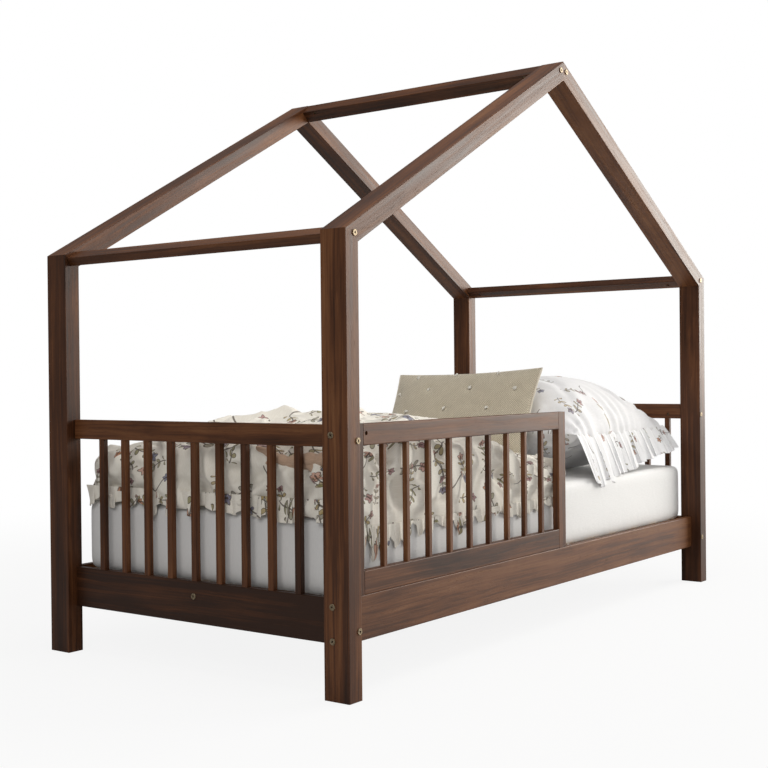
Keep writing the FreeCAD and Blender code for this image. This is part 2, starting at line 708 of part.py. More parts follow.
def barrel_nut(centre, direction, way):
    """Steel cylinder across the bolt, with the bolt's bore through it."""
    length = number("nut_length")
    middle = point(centre)
    barrel = Part.makeCylinder(number("nut_radius"), length, middle - way * (length / 2), way)
    thread = Part.makeCylinder(number("bolt_radius + dowel_fit"), length, middle - direction * (length / 2),
                               direction)
    return barrel.cut(thread)


def dowel(centre, direction):
    length = number("dowel_length")
    peg = Part.makeCylinder(number("dowel_radius"), length, point(centre) - direction * (length / 2),
                            direction)
    return peg.makeChamfer(number("dowel_radius") / 4, [edge for edge in peg.Edges if edge.Closed
                                                       and isinstance(edge.Curve, Part.Circle)])


def wood_screw(place, direction):
    """Flat countersunk head on a plain shank."""
    radius, head_radius = number("screw_radius"), number("screw_head_radius")
    cone = Part.makeCone(head_radius, radius, head_radius - radius)
    screw = cone.fuse(Part.makeCylinder(radius, number("screw_length"))).removeSplitter()
    screw.Placement = FreeCAD.Placement(point(place), turned(direction))
    return screw


def base_slat_places():
    step = number("base_slat_pitch")
    return [number(FIRST_SLAT_X) + index * step for index in range(BASE_SLATS)]


def base_slats():
    """Flat slats across the bed, screwed down at both ends and at the middle."""
    half, width = number(f"{SIDE_RAIL_INNER_Y} - base_slat_gap"), number("base_slat_width")
    thickness, top = number("base_slat_thickness"), number("base_top")
    bore_radius, head_radius = number(SCREW_BORE), number("screw_head_radius + screw_fit")
    sink_depth = number("screw_head_radius - screw_radius")
    down = FreeCAD.Vector(0, 0, -1)
    slats = []
    for middle in base_slat_places():
        slat = Part.makeBox(width, 2 * half, thickness,
                            FreeCAD.Vector(middle - width / 2, -half, top - thickness))
        long_edges = [edge for edge in slat.Edges if edge.Length > half]
        slat = slat.makeFillet(number("slat_round"), long_edges)
        for line in screw_lines():
            spot = FreeCAD.Vector(middle, line, top)
            slat = slat.cut(Part.makeCylinder(bore_radius, thickness, spot, down))
            slat = slat.cut(Part.makeCone(head_radius, bore_radius, sink_depth, spot, down))
        slats.append(slat)
    return Part.makeCompound(slats)


def screw_lines():
    ledger_line = number(f"{SIDE_RAIL_INNER_Y} - ledger_width / 2")
    return (-ledger_line, number("centre_screw_offset"), ledger_line)


def wood_screws():
    """Slat screws point down; ledger screws point out into the side rails."""
    screws = []
    down = FreeCAD.Vector(0, 0, -1)
    for middle in base_slat_places():
        for line in screw_lines():
            screws.append(wood_screw((middle, line, "base_top"), down))
    for side in (NEAR, FAR):
        for index in range(BASE_SLATS - 1):
            place = (f"{FIRST_GAP_X} + {index} * base_slat_pitch", signed(side, LEDGER_INNER_Y), LEDGER_Z)
            screws.append(wood_screw(place, Y_AXIS * side))
    return Part.makeCompound(screws)


doc.recompute()
new_feature("head_slats", head_slats(foot_slats[0]))
new_feature("connector_bolts", Part.makeCompound([connector_bolt(*bolt) for bolt in bolts]))
new_feature("barrel_nuts", Part.makeCompound([barrel_nut(*nut) for nut in nuts]))
new_feature("wood_dowels", Part.makeCompound([dowel(*peg) for peg in dowels]))
new_feature("bed_slats", base_slats())
new_feature("wood_screws", wood_screws())

# ---------------------------------------------------------------- bedding
MATTRESS_UNDERSIDE = "(base_top + soft_gap)"
MATTRESS_TOP = f"({MATTRESS_UNDERSIDE} + mattress_thickness)"
MATTRESS_HEAD_X = f"({INNER_X} - mattress_head_gap)"
MATTRESS_FOOT_X = f"(-{INNER_X} + mattress_foot_gap)"
MATTRESS_HALF = f"({SIDE_RAIL_INNER_Y} - mattress_side_gap)"
PILLOW_FOOT_X = f"({INNER_X} - pillow_head_gap - pillow_length)"


def mattress():
    body = new_body("mattress")
    length, width = f"{MATTRESS_HEAD_X} - {MATTRESS_FOOT_X}", f"2 * {MATTRESS_HALF}"
    block = box(body, (MATTRESS_FOOT_X, f"-{MATTRESS_HALF}", MATTRESS_UNDERSIDE),
                (length, width, "mattress_thickness"))
    doc.recompute()
    fillet = body.newObject("PartDesign::Fillet", "rounded")
    fillet.Base = (block, ["Edge%d" % index for index in range(1, len(block.Shape.Edges) + 1)])
    fillet.setExpression("Radius", formula("mattress_round"))


def arc(start, middle, finish):
    return Part.Arc(start, middle, finish).toShape()


def line(start, finish):
    return Part.LineSegment(start, finish).toShape()


def smooth_step(share):
    share = min(max(share, 0.0), 1.0)
    return share * share * (3 - 2 * share)


def duvet_shape():
    """A thick quilt over the foot half: a domed top that falls off towards the head,
    short drops down both long sides and a curtain over the foot end."""
    top, drop = number(MATTRESS_TOP), number("duvet_side_drop")
    foot_drop, fold = number("duvet_foot_drop"), number("duvet_fold")
    half = number(f"{MATTRESS_HALF} + duvet_side_thickness")
    foot_x = number(MATTRESS_FOOT_X)
    start_x = foot_x - number("duvet_foot_thickness")
    length, crown = number(f"{PILLOW_FOOT_X} - duvet_pillow_gap") - start_x, number("duvet_crown")
    stations = [0.0, (foot_x - start_x) / length] + [0.055 + 0.945 * step / 12 for step in range(13)]
    wires = []
    for share in stations:
        x = start_x + share * length
        ripple = fold * math.sin(2 * math.pi * 4.3 * share)
        side_ripple = fold * 0.3 * (1 + math.sin(2 * math.pi * 5.7 * share))
        rise = 0.78 + 0.22 * smooth_step(share / 0.42)
        fall = 1 - 0.49 * smooth_step((share - 0.56) / 0.16) - 0.13 * smooth_step((share - 0.72) / 0.22)
        fall -= 0.14 * smooth_step((share - 0.94) / 0.06)
        height = crown * rise * fall
        hem = top - (foot_drop if share < 0.05 else drop - 0.6 * ripple)
        shoulder = top + 0.36 * height
        brow = top + 0.87 * height + 0.5 * ripple
        peak = top + height + ripple
        outer = half - side_ripple - number("duvet_corner") * smooth_step((share - 0.9) / 0.1)
        inner = 0.64 * half
        elbow_y = outer - 0.24 * (outer - inner)
        elbow_z = shoulder + 0.66 * (brow - shoulder)
        spots = {
            "near_hem": (-outer, hem), "near_shoulder": (-outer, shoulder), "near_elbow": (-elbow_y, elbow_z),
            "near_brow": (-inner, brow), "peak": (0, peak), "far_brow": (inner, brow),
            "far_elbow": (elbow_y, elbow_z), "far_shoulder": (outer, shoulder), "far_hem": (outer, hem),
        }
        at = {name: FreeCAD.Vector(x, y, z) for name, (y, z) in spots.items()}
        wires.append(Part.Wire([
            line(at["near_hem"], at["near_shoulder"]),
            arc(at["near_shoulder"], at["near_elbow"], at["near_brow"]),
            arc(at["near_brow"], at["peak"], at["far_brow"]),
            arc(at["far_brow"], at["far_elbow"], at["far_shoulder"]),
            line(at["far_shoulder"], at["far_hem"]),
            line(at["far_hem"], at["near_hem"]),
        ]))
    quilt = Part.makeLoft(wires, True, True)
    mattress_half = number(MATTRESS_HALF)
    room = Part.makeBox(length, 2 * mattress_half, top, FreeCAD.Vector(foot_x, -mattress_half, 0))
    return quilt.cut(room)


def pillow_places():
    near_y = number(f"pillow_near_gap - {MATTRESS_HALF}")
    head_x = number(f"{INNER_X} - pillow_head_gap")
    return number(PILLOW_FOOT_X), head_x, near_y, near_y + number("pillow_width")


def pillow_shape():
    """Plump square pillow: crowned top, flat where it lies on the mattress, sides drawn
    in between the corners, and a ruffle that hangs from the near seam."""
    top = number(MATTRESS_TOP)
    seam = top + number("pillow_seam_height")
    crown = top + number("pillow_crown")
    foot_x, head_x, near_y, far_y = pillow_places()
    middle_x, half = (foot_x + head_x) / 2, (head_x - foot_x) / 2
    edge = number("ruffle_thickness")
    wires = []
    for step in range(-5, 6):
        share = math.sin(math.radians(18 * step))
        x = middle_x + half * share
        plump = (1 - abs(share) ** 3) ** 0.75
        draw = 14 * (1 - share * share)
        near, far = near_y + draw, far_y - draw
        high = seam + edge + (crown - seam - edge) * plump
        low = seam - edge - (seam - edge - top) * min(1.0, 1.35 * plump)
        inset = 0.26 * (far - near)
        at = [FreeCAD.Vector(x, y, z) for y, z in (
            (near, seam + edge), ((near + far) / 2, high), (far, seam + edge), (far, seam - edge),
            (far - 0.35 * inset, low + 0.32 * (seam - low)), (far - inset, low),
            (near + inset, low), (near + 0.35 * inset, low + 0.32 * (seam - low)), (near, seam - edge))]
        if plump < 0.05:
            high = seam + 2 * edge
            at[1] = FreeCAD.Vector(x, (near + far) / 2, high)
        wires.append(Part.Wire([
            arc(at[0], at[1], at[2]), line(at[2], at[3]), arc(at[3], at[4], at[5]),
            line(at[5], at[6]), arc(at[6], at[7], at[8]), line(at[8], at[0]),
        ]))
    body = Part.makeLoft(wires, True, True)
    return body.fuse(ruffle_shape(foot_x, head_x, near_y, seam)).removeSplitter()


def ruffle_shape(foot_x, head_x, near_y, seam):
    """A gathered strip: its waves are slight at the seam and full at the hem."""
    waves, thickness = 9, number("ruffle_thickness")
    hem_y = near_y - number("ruffle_reach")
    hem_foot = number(MATTRESS_TOP) + thickness
    hem_head = seam - number("ruffle_drop")
    step = (head_x - foot_x) / (2 * waves)

    def band(line_y, depth, foot_z, head_z):
        def spot(x, y):
            share = (x - foot_x) / (head_x - foot_x)
            return FreeCAD.Vector(x, y, foot_z + share * (head_z - foot_z))

        edges = []
        for index in range(2 * waves):
            x, sway = foot_x + index * step, depth * (1 if index % 2 else -1)
            edges.append(arc(spot(x, line_y), spot(x + step / 2, line_y + sway), spot(x + step, line_y)))
        inner_y = line_y + thickness
        edges.append(line(spot(head_x, line_y), spot(head_x, inner_y)))
        for index in reversed(range(2 * waves)):
            x, sway = foot_x + index * step, depth * (1 if index % 2 else -1)
            edges.append(arc(spot(x + step, inner_y), spot(x + step / 2, inner_y + sway), spot(x, inner_y)))
        edges.append(line(spot(foot_x, inner_y), spot(foot_x, line_y)))
        return Part.Wire(edges)

    wave = number("ruffle_wave")
    gathered = band(near_y + 14, wave / 6, seam, seam)
    hem = band(hem_y + wave, wave, hem_foot, hem_head)
    return Part.makeLoft([gathered, hem], True, True)


def cushion_shape():
    """Lumbar cushion leaning back on the pillow: crowned on both faces, its long sides
    drawn in between the corners, with shallow tufts in staggered rows on the front."""
    half, height = number("cushion_width") / 2, number("cushion_height")
    thick, seam = number("cushion_thickness") / 2, 2.0
    wires = []
    for step in range(-6, 7):
        share = math.sin(math.radians(15 * step))
        plump = (1 - abs(share) ** 3.2) ** 0.7
        draw = 12 * (1 - share * share)
        low, high = draw * 0.6, height - draw
        middle, bulge = (low + high) / 2, seam * 1.5 + (thick - seam) * plump
        at = [FreeCAD.Vector(-w, half * share, v) for w, v in (
            (seam, low), (bulge, middle), (seam, high), (-seam, high), (-bulge, middle), (-seam, low))]
        wires.append(Part.Wire([
            arc(at[0], at[1], at[2]), line(at[2], at[3]), arc(at[3], at[4], at[5]), line(at[5], at[0]),
        ]))
    body = Part.makeLoft(wires, True, True)
    body = cut_tufts(body, half, height, thick)
    lean = FreeCAD.Rotation(Y_AXIS, number("cushion_lean"))
    foot = FreeCAD.Vector(number(f"{PILLOW_FOOT_X} - cushion_foot_gap"), number("cushion_shift"),
                          number(f"{MATTRESS_TOP} + cushion_foot_rise"))
    body.Placement = FreeCAD.Placement(foot, lean)
    return body


def cut_tufts(body, half, height, thick):
    spacing, radius = number("tuft_spacing"), number("tuft_radius")
    row_height, rows = height / 4, 3
    for row in range(1, rows + 1):
        v = height - row * row_height
        shift = spacing / 2 if row % 2 == 0 else 0
        u = half - spacing / 2.2 - shift
        while u > -half + radius:
            across = 1 - abs(u / half) ** 3.2
            up = 1 - ((v - height / 2) / (height / 2)) ** 2
            surface = thick * max(across, 0) ** 0.7 * up
            body = body.cut(Part.makeSphere(radius, FreeCAD.Vector(-surface - radius * 0.72, u, v)))
            u -= spacing
    return body


mattress()
duvet = new_feature("duvet", duvet_shape())
pillow = new_feature("pillow", pillow_shape())
new_feature("cushion", cushion_shape().cut(duvet.Shape).cut(pillow.Shape))

# ---------------------------------------------------------------- check and write
doc.recompute()
for item in doc.Objects:
    if "Invalid" in item.State or "Error" in item.State:
        raise RuntimeError(f"{item.Label} did not build: {item.State}")
for piece in pieces:
    if piece.Shape.isNull() or not piece.Shape.isValid():
        raise RuntimeError(f"{piece.Label} has no valid shape")
    if not piece.Shape.Solids:
        raise RuntimeError(f"{piece.Label} has no solid")

os.makedirs("parts", exist_ok=True)
for piece in pieces:
    piece.Shape.exportStep(f"parts/{piece.Label}.step")
print(len(pieces), "pieces")
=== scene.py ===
"""House frame bed: timber finish, bedding, studio and camera."""
import math

import bmesh
import bpy
import numpy as np
from mathutils import Matrix, Vector
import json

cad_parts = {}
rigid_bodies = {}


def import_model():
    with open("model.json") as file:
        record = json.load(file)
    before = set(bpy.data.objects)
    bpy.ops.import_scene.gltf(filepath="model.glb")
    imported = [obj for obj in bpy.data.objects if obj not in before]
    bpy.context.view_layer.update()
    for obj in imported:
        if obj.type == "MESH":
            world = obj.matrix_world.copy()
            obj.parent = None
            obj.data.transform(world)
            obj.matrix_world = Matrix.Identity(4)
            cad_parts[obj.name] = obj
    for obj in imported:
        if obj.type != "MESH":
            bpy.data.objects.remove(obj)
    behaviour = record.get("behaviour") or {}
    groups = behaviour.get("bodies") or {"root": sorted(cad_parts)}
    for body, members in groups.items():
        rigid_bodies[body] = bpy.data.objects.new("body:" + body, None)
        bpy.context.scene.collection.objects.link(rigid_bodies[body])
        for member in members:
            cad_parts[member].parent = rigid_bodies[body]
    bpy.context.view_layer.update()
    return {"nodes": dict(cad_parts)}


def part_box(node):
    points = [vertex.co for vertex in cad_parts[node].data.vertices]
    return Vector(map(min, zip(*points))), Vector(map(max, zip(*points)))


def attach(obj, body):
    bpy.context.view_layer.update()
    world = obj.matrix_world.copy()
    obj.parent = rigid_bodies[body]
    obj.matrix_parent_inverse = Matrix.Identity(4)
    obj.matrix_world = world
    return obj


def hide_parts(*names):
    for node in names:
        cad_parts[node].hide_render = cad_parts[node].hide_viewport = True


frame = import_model()
MATTRESS_LOW, MATTRESS_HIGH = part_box("mattress")
BED_TOP = MATTRESS_HIGH[2]


# ---------------------------------------------------------------- shader graph helper
class Graph:
    """Short calls for building a node tree. Values may be sockets or plain numbers."""

    def __init__(self, tree):
        self.tree = tree

    def node(self, kind, **settings):
        node = self.tree.nodes.new(kind)
        for key, value in settings.items():
            setattr(node, key, value)
        return node

    def put(self, socket, value):
        if isinstance(value, bpy.types.NodeSocket):
            self.tree.links.new(value, socket)
        elif value is not None:
            socket.default_value = value

    def math(self, operation, *values, clamp=False):
        node = self.node("ShaderNodeMath", operation=operation, use_clamp=clamp)
        for socket, value in zip(node.inputs, values):
            self.put(socket, value)
        return node.outputs[0]

    def vmath(self, operation, *values):
        node = self.node("ShaderNodeVectorMath", operation=operation)
        for socket, value in zip(node.inputs, values):
            self.put(socket, value)
        return node.outputs[0]

    def split(self, vector):
        node = self.node("ShaderNodeSeparateXYZ")
        self.put(node.inputs[0], vector)
        return node.outputs

    def join(self, x, y, z=0.0):
        node = self.node("ShaderNodeCombineXYZ")
        for socket, value in zip(node.inputs, (x, y, z)):
            self.put(socket, value)
        return node.outputs[0]

    def scale(self, vector, factors):
        node = self.node("ShaderNodeVectorMath", operation="MULTIPLY")
        self.put(node.inputs[0], vector)
        node.inputs[1].default_value = factors
        return node.outputs[0]

    def noise(self, vector, scale=1.0, detail=2.0, rough=0.5, distort=0.0):
        node = self.node("ShaderNodeTexNoise")
        self.put(node.inputs["Vector"], vector)
        node.inputs["Scale"].default_value = scale
        node.inputs["Detail"].default_value = detail
        node.inputs["Roughness"].default_value = rough
        node.inputs["Distortion"].default_value = distort
        return node.outputs["Fac"], node.outputs["Color"]

    def span(self, value, low, high, out_low=0.0, out_high=1.0, smooth=True):
        node = self.node("ShaderNodeMapRange", clamp=True)
        node.interpolation_type = "SMOOTHSTEP" if smooth else "LINEAR"
        for socket, item in zip(node.inputs, (value, low, high, out_low, out_high)):
            self.put(socket, item)
        return node.outputs[0]

    def mix(self, share, a, b, blend="MIX"):
        node = self.node("ShaderNodeMix", data_type="RGBA", blend_type=blend)
        self.put(node.inputs["Factor"], share)
        self.put(node.inputs[6], a)
        self.put(node.inputs[7], b)
        return node.outputs[2]

    def ramp(self, value, stops):
        node = self.node("ShaderNodeValToRGB")
        self.put(node.inputs[0], value)
        elements = node.color_ramp.elements
        while len(elements) < len(stops):
            elements.new(0.5)
        for element, (place, colour) in zip(elements, stops):
            element.position = place
            element.color = colour
        return node.outputs[0]

    def bump(self, height, strength, distance, normal=None):
        node = self.node("ShaderNodeBump")
        self.put(node.inputs["Height"], height)
        node.inputs["Strength"].default_value = strength
        node.inputs["Distance"].default_value = distance
        if normal is not None:
            self.put(node.inputs["Normal"], normal)
        return node.outputs[0]


def rgb(r, g, b):
    return (r, g, b, 1.0)


def new_material(name):
    material = bpy.data.materials.new(name)
    material.use_nodes = True
    material.node_tree.nodes.clear()
    graph = Graph(material.node_tree)
    shader = graph.node("ShaderNodeBsdfPrincipled")
    out = graph.node("ShaderNodeOutputMaterial")
    graph.put(out.inputs[0], shader.outputs[0])
    return material, graph, shader


# ---------------------------------------------------------------- timber
def timber_group():
    """Stained hardwood. The grain runs along X of the incoming vector."""
    tree = bpy.data.node_groups.new("timber", "ShaderNodeTree")
    tree.interface.new_socket("Vector", in_out="INPUT", socket_type="NodeSocketVector")
    tree.interface.new_socket("Tone", in_out="INPUT", socket_type="NodeSocketFloat")
    for name, kind in (("Color", "NodeSocketColor"), ("Roughness", "NodeSocketFloat"),
                       ("Height", "NodeSocketFloat")):
        tree.interface.new_socket(name, in_out="OUTPUT", socket_type=kind)
    g = Graph(tree)
    entry, leave = g.node("NodeGroupInput"), g.node("NodeGroupOutput")
    place, tone = entry.outputs["Vector"], entry.outputs["Tone"]

    drift = g.noise(g.scale(place, (1.5, 6, 6)), 1.0, 3.0)[1]
    bent = g.vmath("ADD", place, g.scale(g.vmath("SUBTRACT", drift, (0.5, 0.5, 0.5)), (0.0, 0.034, 0.034)))
    broad = g.noise(g.scale(bent, (0.9, 20, 20)), 1.0, 3.0, 0.5)[0]
    streak = g.noise(g.scale(bent, (1.8, 90, 90)), 1.0, 4.0, 0.6)[0]
    line = g.noise(g.scale(bent, (2.6, 260, 260)), 1.0, 3.0, 0.55)[0]
    fibre = g.noise(g.scale(bent, (14, 900, 900)), 1.0, 2.0, 0.5)[0]
    cloud = g.noise(g.scale(place, (5, 9, 9)), 1.0, 3.0, 0.5)[0]
    dash = g.noise(g.scale(bent, (30, 820, 820)), 1.0, 1.0, 0.5)[0]
    pore = g.math("MULTIPLY", g.span(dash, 0.60, 0.72), g.span(streak, 0.42, 0.6))

    depth = g.math("MULTIPLY", broad, 0.34)
    for part, weight in ((streak, 0.30), (line, 0.15), (fibre, 0.06), (cloud, 0.15)):
        depth = g.math("ADD", depth, g.math("MULTIPLY", part, weight))
    depth = g.math("ADD", depth, tone)
    colour = g.ramp(depth, (
        (0.38, rgb(0.026, 0.0085, 0.0028)), (0.47, rgb(0.068, 0.0225, 0.0072)),
        (0.53, rgb(0.122, 0.0440, 0.0145)), (0.62, rgb(0.180, 0.0760, 0.0290))))
    colour = g.mix(g.math("MULTIPLY", pore, 0.45), colour, rgb(0.022, 0.009, 0.005))
    g.put(leave.inputs["Color"], colour)
    rough = g.span(streak, 0.3, 0.7, 0.40, 0.52)
    g.put(leave.inputs["Roughness"], g.math("ADD", rough, g.math("MULTIPLY", pore, 0.15)))
    height = g.math("ADD", g.math("MULTIPLY", streak, 0.5), g.math("MULTIPLY", line, 0.5))
    g.put(leave.inputs["Height"], g.math("SUBTRACT", height, g.math("MULTIPLY", pore, 0.7)))
    return tree


TIMBER = timber_group()


def along_grain(g, grain, seed):
    """Object coordinates turned so that the grain runs along X, moved by the seed."""
    coords = g.node("ShaderNodeTexCoord")
    mapping = g.node("ShaderNodeMapping")
    g.put(mapping.inputs["Vector"], coords.outputs["Object"])
    turn = Vector(grain).rotation_difference(Vector((1, 0, 0))).to_euler()
    mapping.inputs["Rotation"].default_value = turn
    mapping.inputs["Location"].default_value = (seed * 1.37, seed * 0.91, seed * 0.53)
    return mapping.outputs[0]


# Per-timber darkening of the stain. For the foot's low rail it is painted shade, where the light falls off
# towards the bottom of the foot end; the other three are simply made darker.
DARKENING_INCL_PAINTED_SHADE = {"foot_low_rail": -0.13, "post_foot_far": -0.06, "post_head_near": -0.04, "ridge_beam": -0.06}


def stained_timber(node, grain, seed):
    material, g, shader = new_material(node + "_stain")
    group = g.node("ShaderNodeGroup", node_tree=TIMBER)
    g.put(group.inputs["Vector"], along_grain(g, grain, seed))
    # The tone is a small random shift plus the darkening above, which for the foot's low rail is painted
    # shade.
    group.inputs["Tone"].default_value = 0.016 * math.sin(seed * 2.4) + DARKENING_INCL_PAINTED_SHADE.get(node, 0.0)
    g.put(shader.inputs["Base Color"], group.outputs["Color"])
    g.put(shader.inputs["Roughness"], group.outputs["Roughness"])
    shader.inputs["Specular IOR Level"].default_value = 0.24
    shader.inputs["Coat Weight"].default_value = 0.05
    shader.inputs["Coat Roughness"].default_value = 0.30
    g.put(shader.inputs["Normal"], g.bump(group.outputs["Height"], 0.30, 0.0005))
    return material


def plain_timber(name, grain, light, dark, seed):
    material, g, shader = new_material(name)
    place = along_grain(g, grain, seed)
    streak = g.noise(g.scale(place, (2.0, 70, 70)), 1.0, 4.0, 0.6)[0]
    fibre = g.noise(g.scale(place, (8, 420, 420)), 1.0, 2.0)[0]
    share = g.math("ADD", g.math("MULTIPLY", streak, 0.75), g.math("MULTIPLY", fibre, 0.25))
    g.put(shader.inputs["Base Color"], g.ramp(share, ((0.34, dark), (0.66, light))))
    g.put(shader.inputs["Roughness"], g.span(fibre, 0.3, 0.7, 0.52, 0.68))
    g.put(shader.inputs["Normal"], g.bump(share, 0.3, 0.0004))
    return material


def metal(name, colour, tarnish, rough):
    material, g, shader = new_material(name)
    coords = g.node("ShaderNodeTexCoord").outputs["Object"]
    cloud = g.noise(coords, 260.0, 4.0, 0.6)[0]
    g.put(shader.inputs["Base Color"], g.ramp(cloud, ((0.38, tarnish), (0.62, colour))))
    g.put(shader.inputs["Roughness"], g.span(cloud, 0.3, 0.7, rough - 0.08, rough + 0.12))
    shader.inputs["Metallic"].default_value = 1.0
    g.put(shader.inputs["Normal"], g.bump(cloud, 0.2, 0.0002))
    return material


def give(node, material):
    """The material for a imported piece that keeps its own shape."""
    mesh = bpy.data.objects[node].data
    mesh.materials.clear()
    mesh.materials.append(material)


ROOF_RISE, ROOF_RUN = 0.583, 1.055
PITCH = math.atan2(ROOF_RISE, ROOF_RUN)


def grain_of(node):
    """The direction that a timber's grain runs in."""
    if node.startswith("rafter"):
        return (math.cos(PITCH), 0, math.sin(PITCH) * (1 if "_foot_" in node else -1))
    if node.startswith(("post", "foot_slat", "guard_slat", "guard_stile", "head_slats")):
        return (0, 0, 1)
    if node.startswith(("foot_", "head_", "ridge", "eaves")):
        return (0, 1, 0)
    return (1, 0, 0)


BEDDING = ("mattress", "duvet", "pillow", "cushion")
METALS = ("connector_bolts", "barrel_nuts", "wood_screws")
PINE_LIGHT, PINE_DARK = rgb(0.50, 0.33, 0.18), rgb(0.34, 0.20, 0.10)
BEECH_LIGHT, BEECH_DARK = rgb(0.6, 0.42, 0.26), rgb(0.45, 0.3, 0.17)
for seed, node in enumerate(sorted(frame["nodes"]), start=1):
    if node in BEDDING or node in METALS:
        continue
    if node == "bed_slats":
        give(node, plain_timber("slat_pine", (0, 1, 0), PINE_LIGHT, PINE_DARK, seed))
    elif node in ("slat_ledger_near", "slat_ledger_far", "centre_beam"):
        give(node, plain_timber(node + "_pine", (1, 0, 0), PINE_LIGHT, PINE_DARK, seed))
    elif node == "wood_dowels":
        give(node, plain_timber("dowel_beech", (0, 1, 0), BEECH_LIGHT, BEECH_DARK, seed))
    else:
        give(node, stained_timber(node, grain_of(node), seed))
give("connector_bolts", metal("aged_brass", rgb(0.36, 0.29, 0.20), rgb(0.14, 0.105, 0.065), 0.45))
give("barrel_nuts", metal("dark_brass", rgb(0.16, 0.12, 0.08), rgb(0.07, 0.05, 0.03), 0.5))
give("wood_screws", metal("zinc", rgb(0.70, 0.70, 0.69), rgb(0.52, 0.52, 0.52), 0.32))


# ---------------------------------------------------------------- mesh helpers
def link(obj):
    bpy.context.scene.collection.objects.link(obj)
    return obj


def mesh_object(name, points, faces, uvs=None, smooth=True):
    mesh = bpy.data.meshes.new(name)
    mesh.from_pydata([tuple(map(float, p)) for p in points], [], faces)
    if uvs is not None:
        layer = mesh.uv_layers.new(name="cloth")
        loops = np.empty(len(mesh.loops), dtype=np.int32)
        mesh.loops.foreach_get("vertex_index", loops)
        layer.data.foreach_set("uv", np.asarray(uvs, dtype=np.float32)[loops].ravel())
    if smooth:
        mesh.polygons.foreach_set("use_smooth", [True] * len(mesh.polygons))
    mesh.validate()
    return link(bpy.data.objects.new(name, mesh))


def grid_faces(rows, columns, start=0, flip=False, closed=False):
    faces = []
    last = columns if closed else columns - 1
    for row in range(rows - 1):
        for column in range(last):
            a = start + row * columns + column
            b = start + row * columns + (column + 1) % columns
            face = (a, b, b + columns, a + columns)
            faces.append(face[::-1] if flip else face)
    return faces


def clean(obj, distance=1e-5):
    """Merge the points that meet, and turn every face outward."""
    mesh = bmesh.new()
    mesh.from_mesh(obj.data)
    bmesh.ops.remove_doubles(mesh, verts=mesh.verts, dist=distance)
    bmesh.ops.recalc_face_normals(mesh, faces=mesh.faces)
    mesh.to_mesh(obj.data)
    mesh.free()
    return obj


def points_of(obj):
    points = np.empty(len(obj.data.vertices) * 3)
    obj.data.vertices.foreach_get("co", points)
    return points.reshape(-1, 3)


def set_points(obj, points):
    obj.data.vertices.foreach_set("co", np.asarray(points, dtype=np.float64).ravel())
    obj.data.update()


def normals_of(obj):
    normals = np.empty(len(obj.data.vertices) * 3)
    obj.data.vertices.foreach_get("normal", normals)
    return normals.reshape(-1, 3)


def smoothstep(value, low, high):
    share = np.clip((value - low) / (high - low), 0.0, 1.0)
    return share * share * (3 - 2 * share)


def wave_noise(points, scale, seed, octaves=3):
    """Smooth repeatable noise from summed sines, about -1 to 1."""
    source = np.random.default_rng(seed)
    total, weight = np.zeros(len(points)), 0.0
    for octave in range(octaves):
        size = scale * 1.9 ** octave
        for _ in range(5):
            direction = source.normal(size=3)
            direction /= np.linalg.norm(direction)
            total += np.sin(points @ direction * size * source.uniform(0.7, 1.3)
                            + source.uniform(0, 2 * math.pi)) * 0.62 ** octave
        weight += 5 ** 0.5 * 0.62 ** octave
    return total / (weight * 1.2)


def subdivide(obj, levels=1):
    modifier = obj.modifiers.new("finer", "SUBSURF")
    modifier.levels = modifier.render_levels = levels
    return obj


# ---------------------------------------------------------------- cloth materials
def cloth(name, rough=0.86, sheen=0.2, crumple_depth=0.0022):
    """Cloth shader with fine slubs and crumples in the piece's own cloth coordinates."""
    material, g, shader = new_material(name)
    uv = g.node("ShaderNodeUVMap", uv_map="cloth").outputs[0]
    slub = g.noise(g.scale(uv, (60, 420, 1)), 1.0, 3.0, 0.6)[0]
    crumple = g.noise(uv, 42.0, 5.0, 0.6, 0.8)[0]
    shader.inputs["Roughness"].default_value = rough
    shader.inputs["Specular IOR Level"].default_value = 0.2
    shader.inputs["Sheen Weight"].default_value = sheen
    shader.inputs["Sheen Roughness"].default_value = 0.5
    height = g.math("ADD", crumple, g.math("MULTIPLY", slub, 0.15))
    g.put(shader.inputs["Normal"], g.bump(height, 0.45, crumple_depth))
    return material, g, shader, uv, slub


def plain_cotton(name, colour, shade, **settings):
    material, g, shader, uv, slub = cloth(name, **settings)
    g.put(shader.inputs["Base Color"], g.mix(g.span(slub, 0.3, 0.7), shade, colour))
    return material


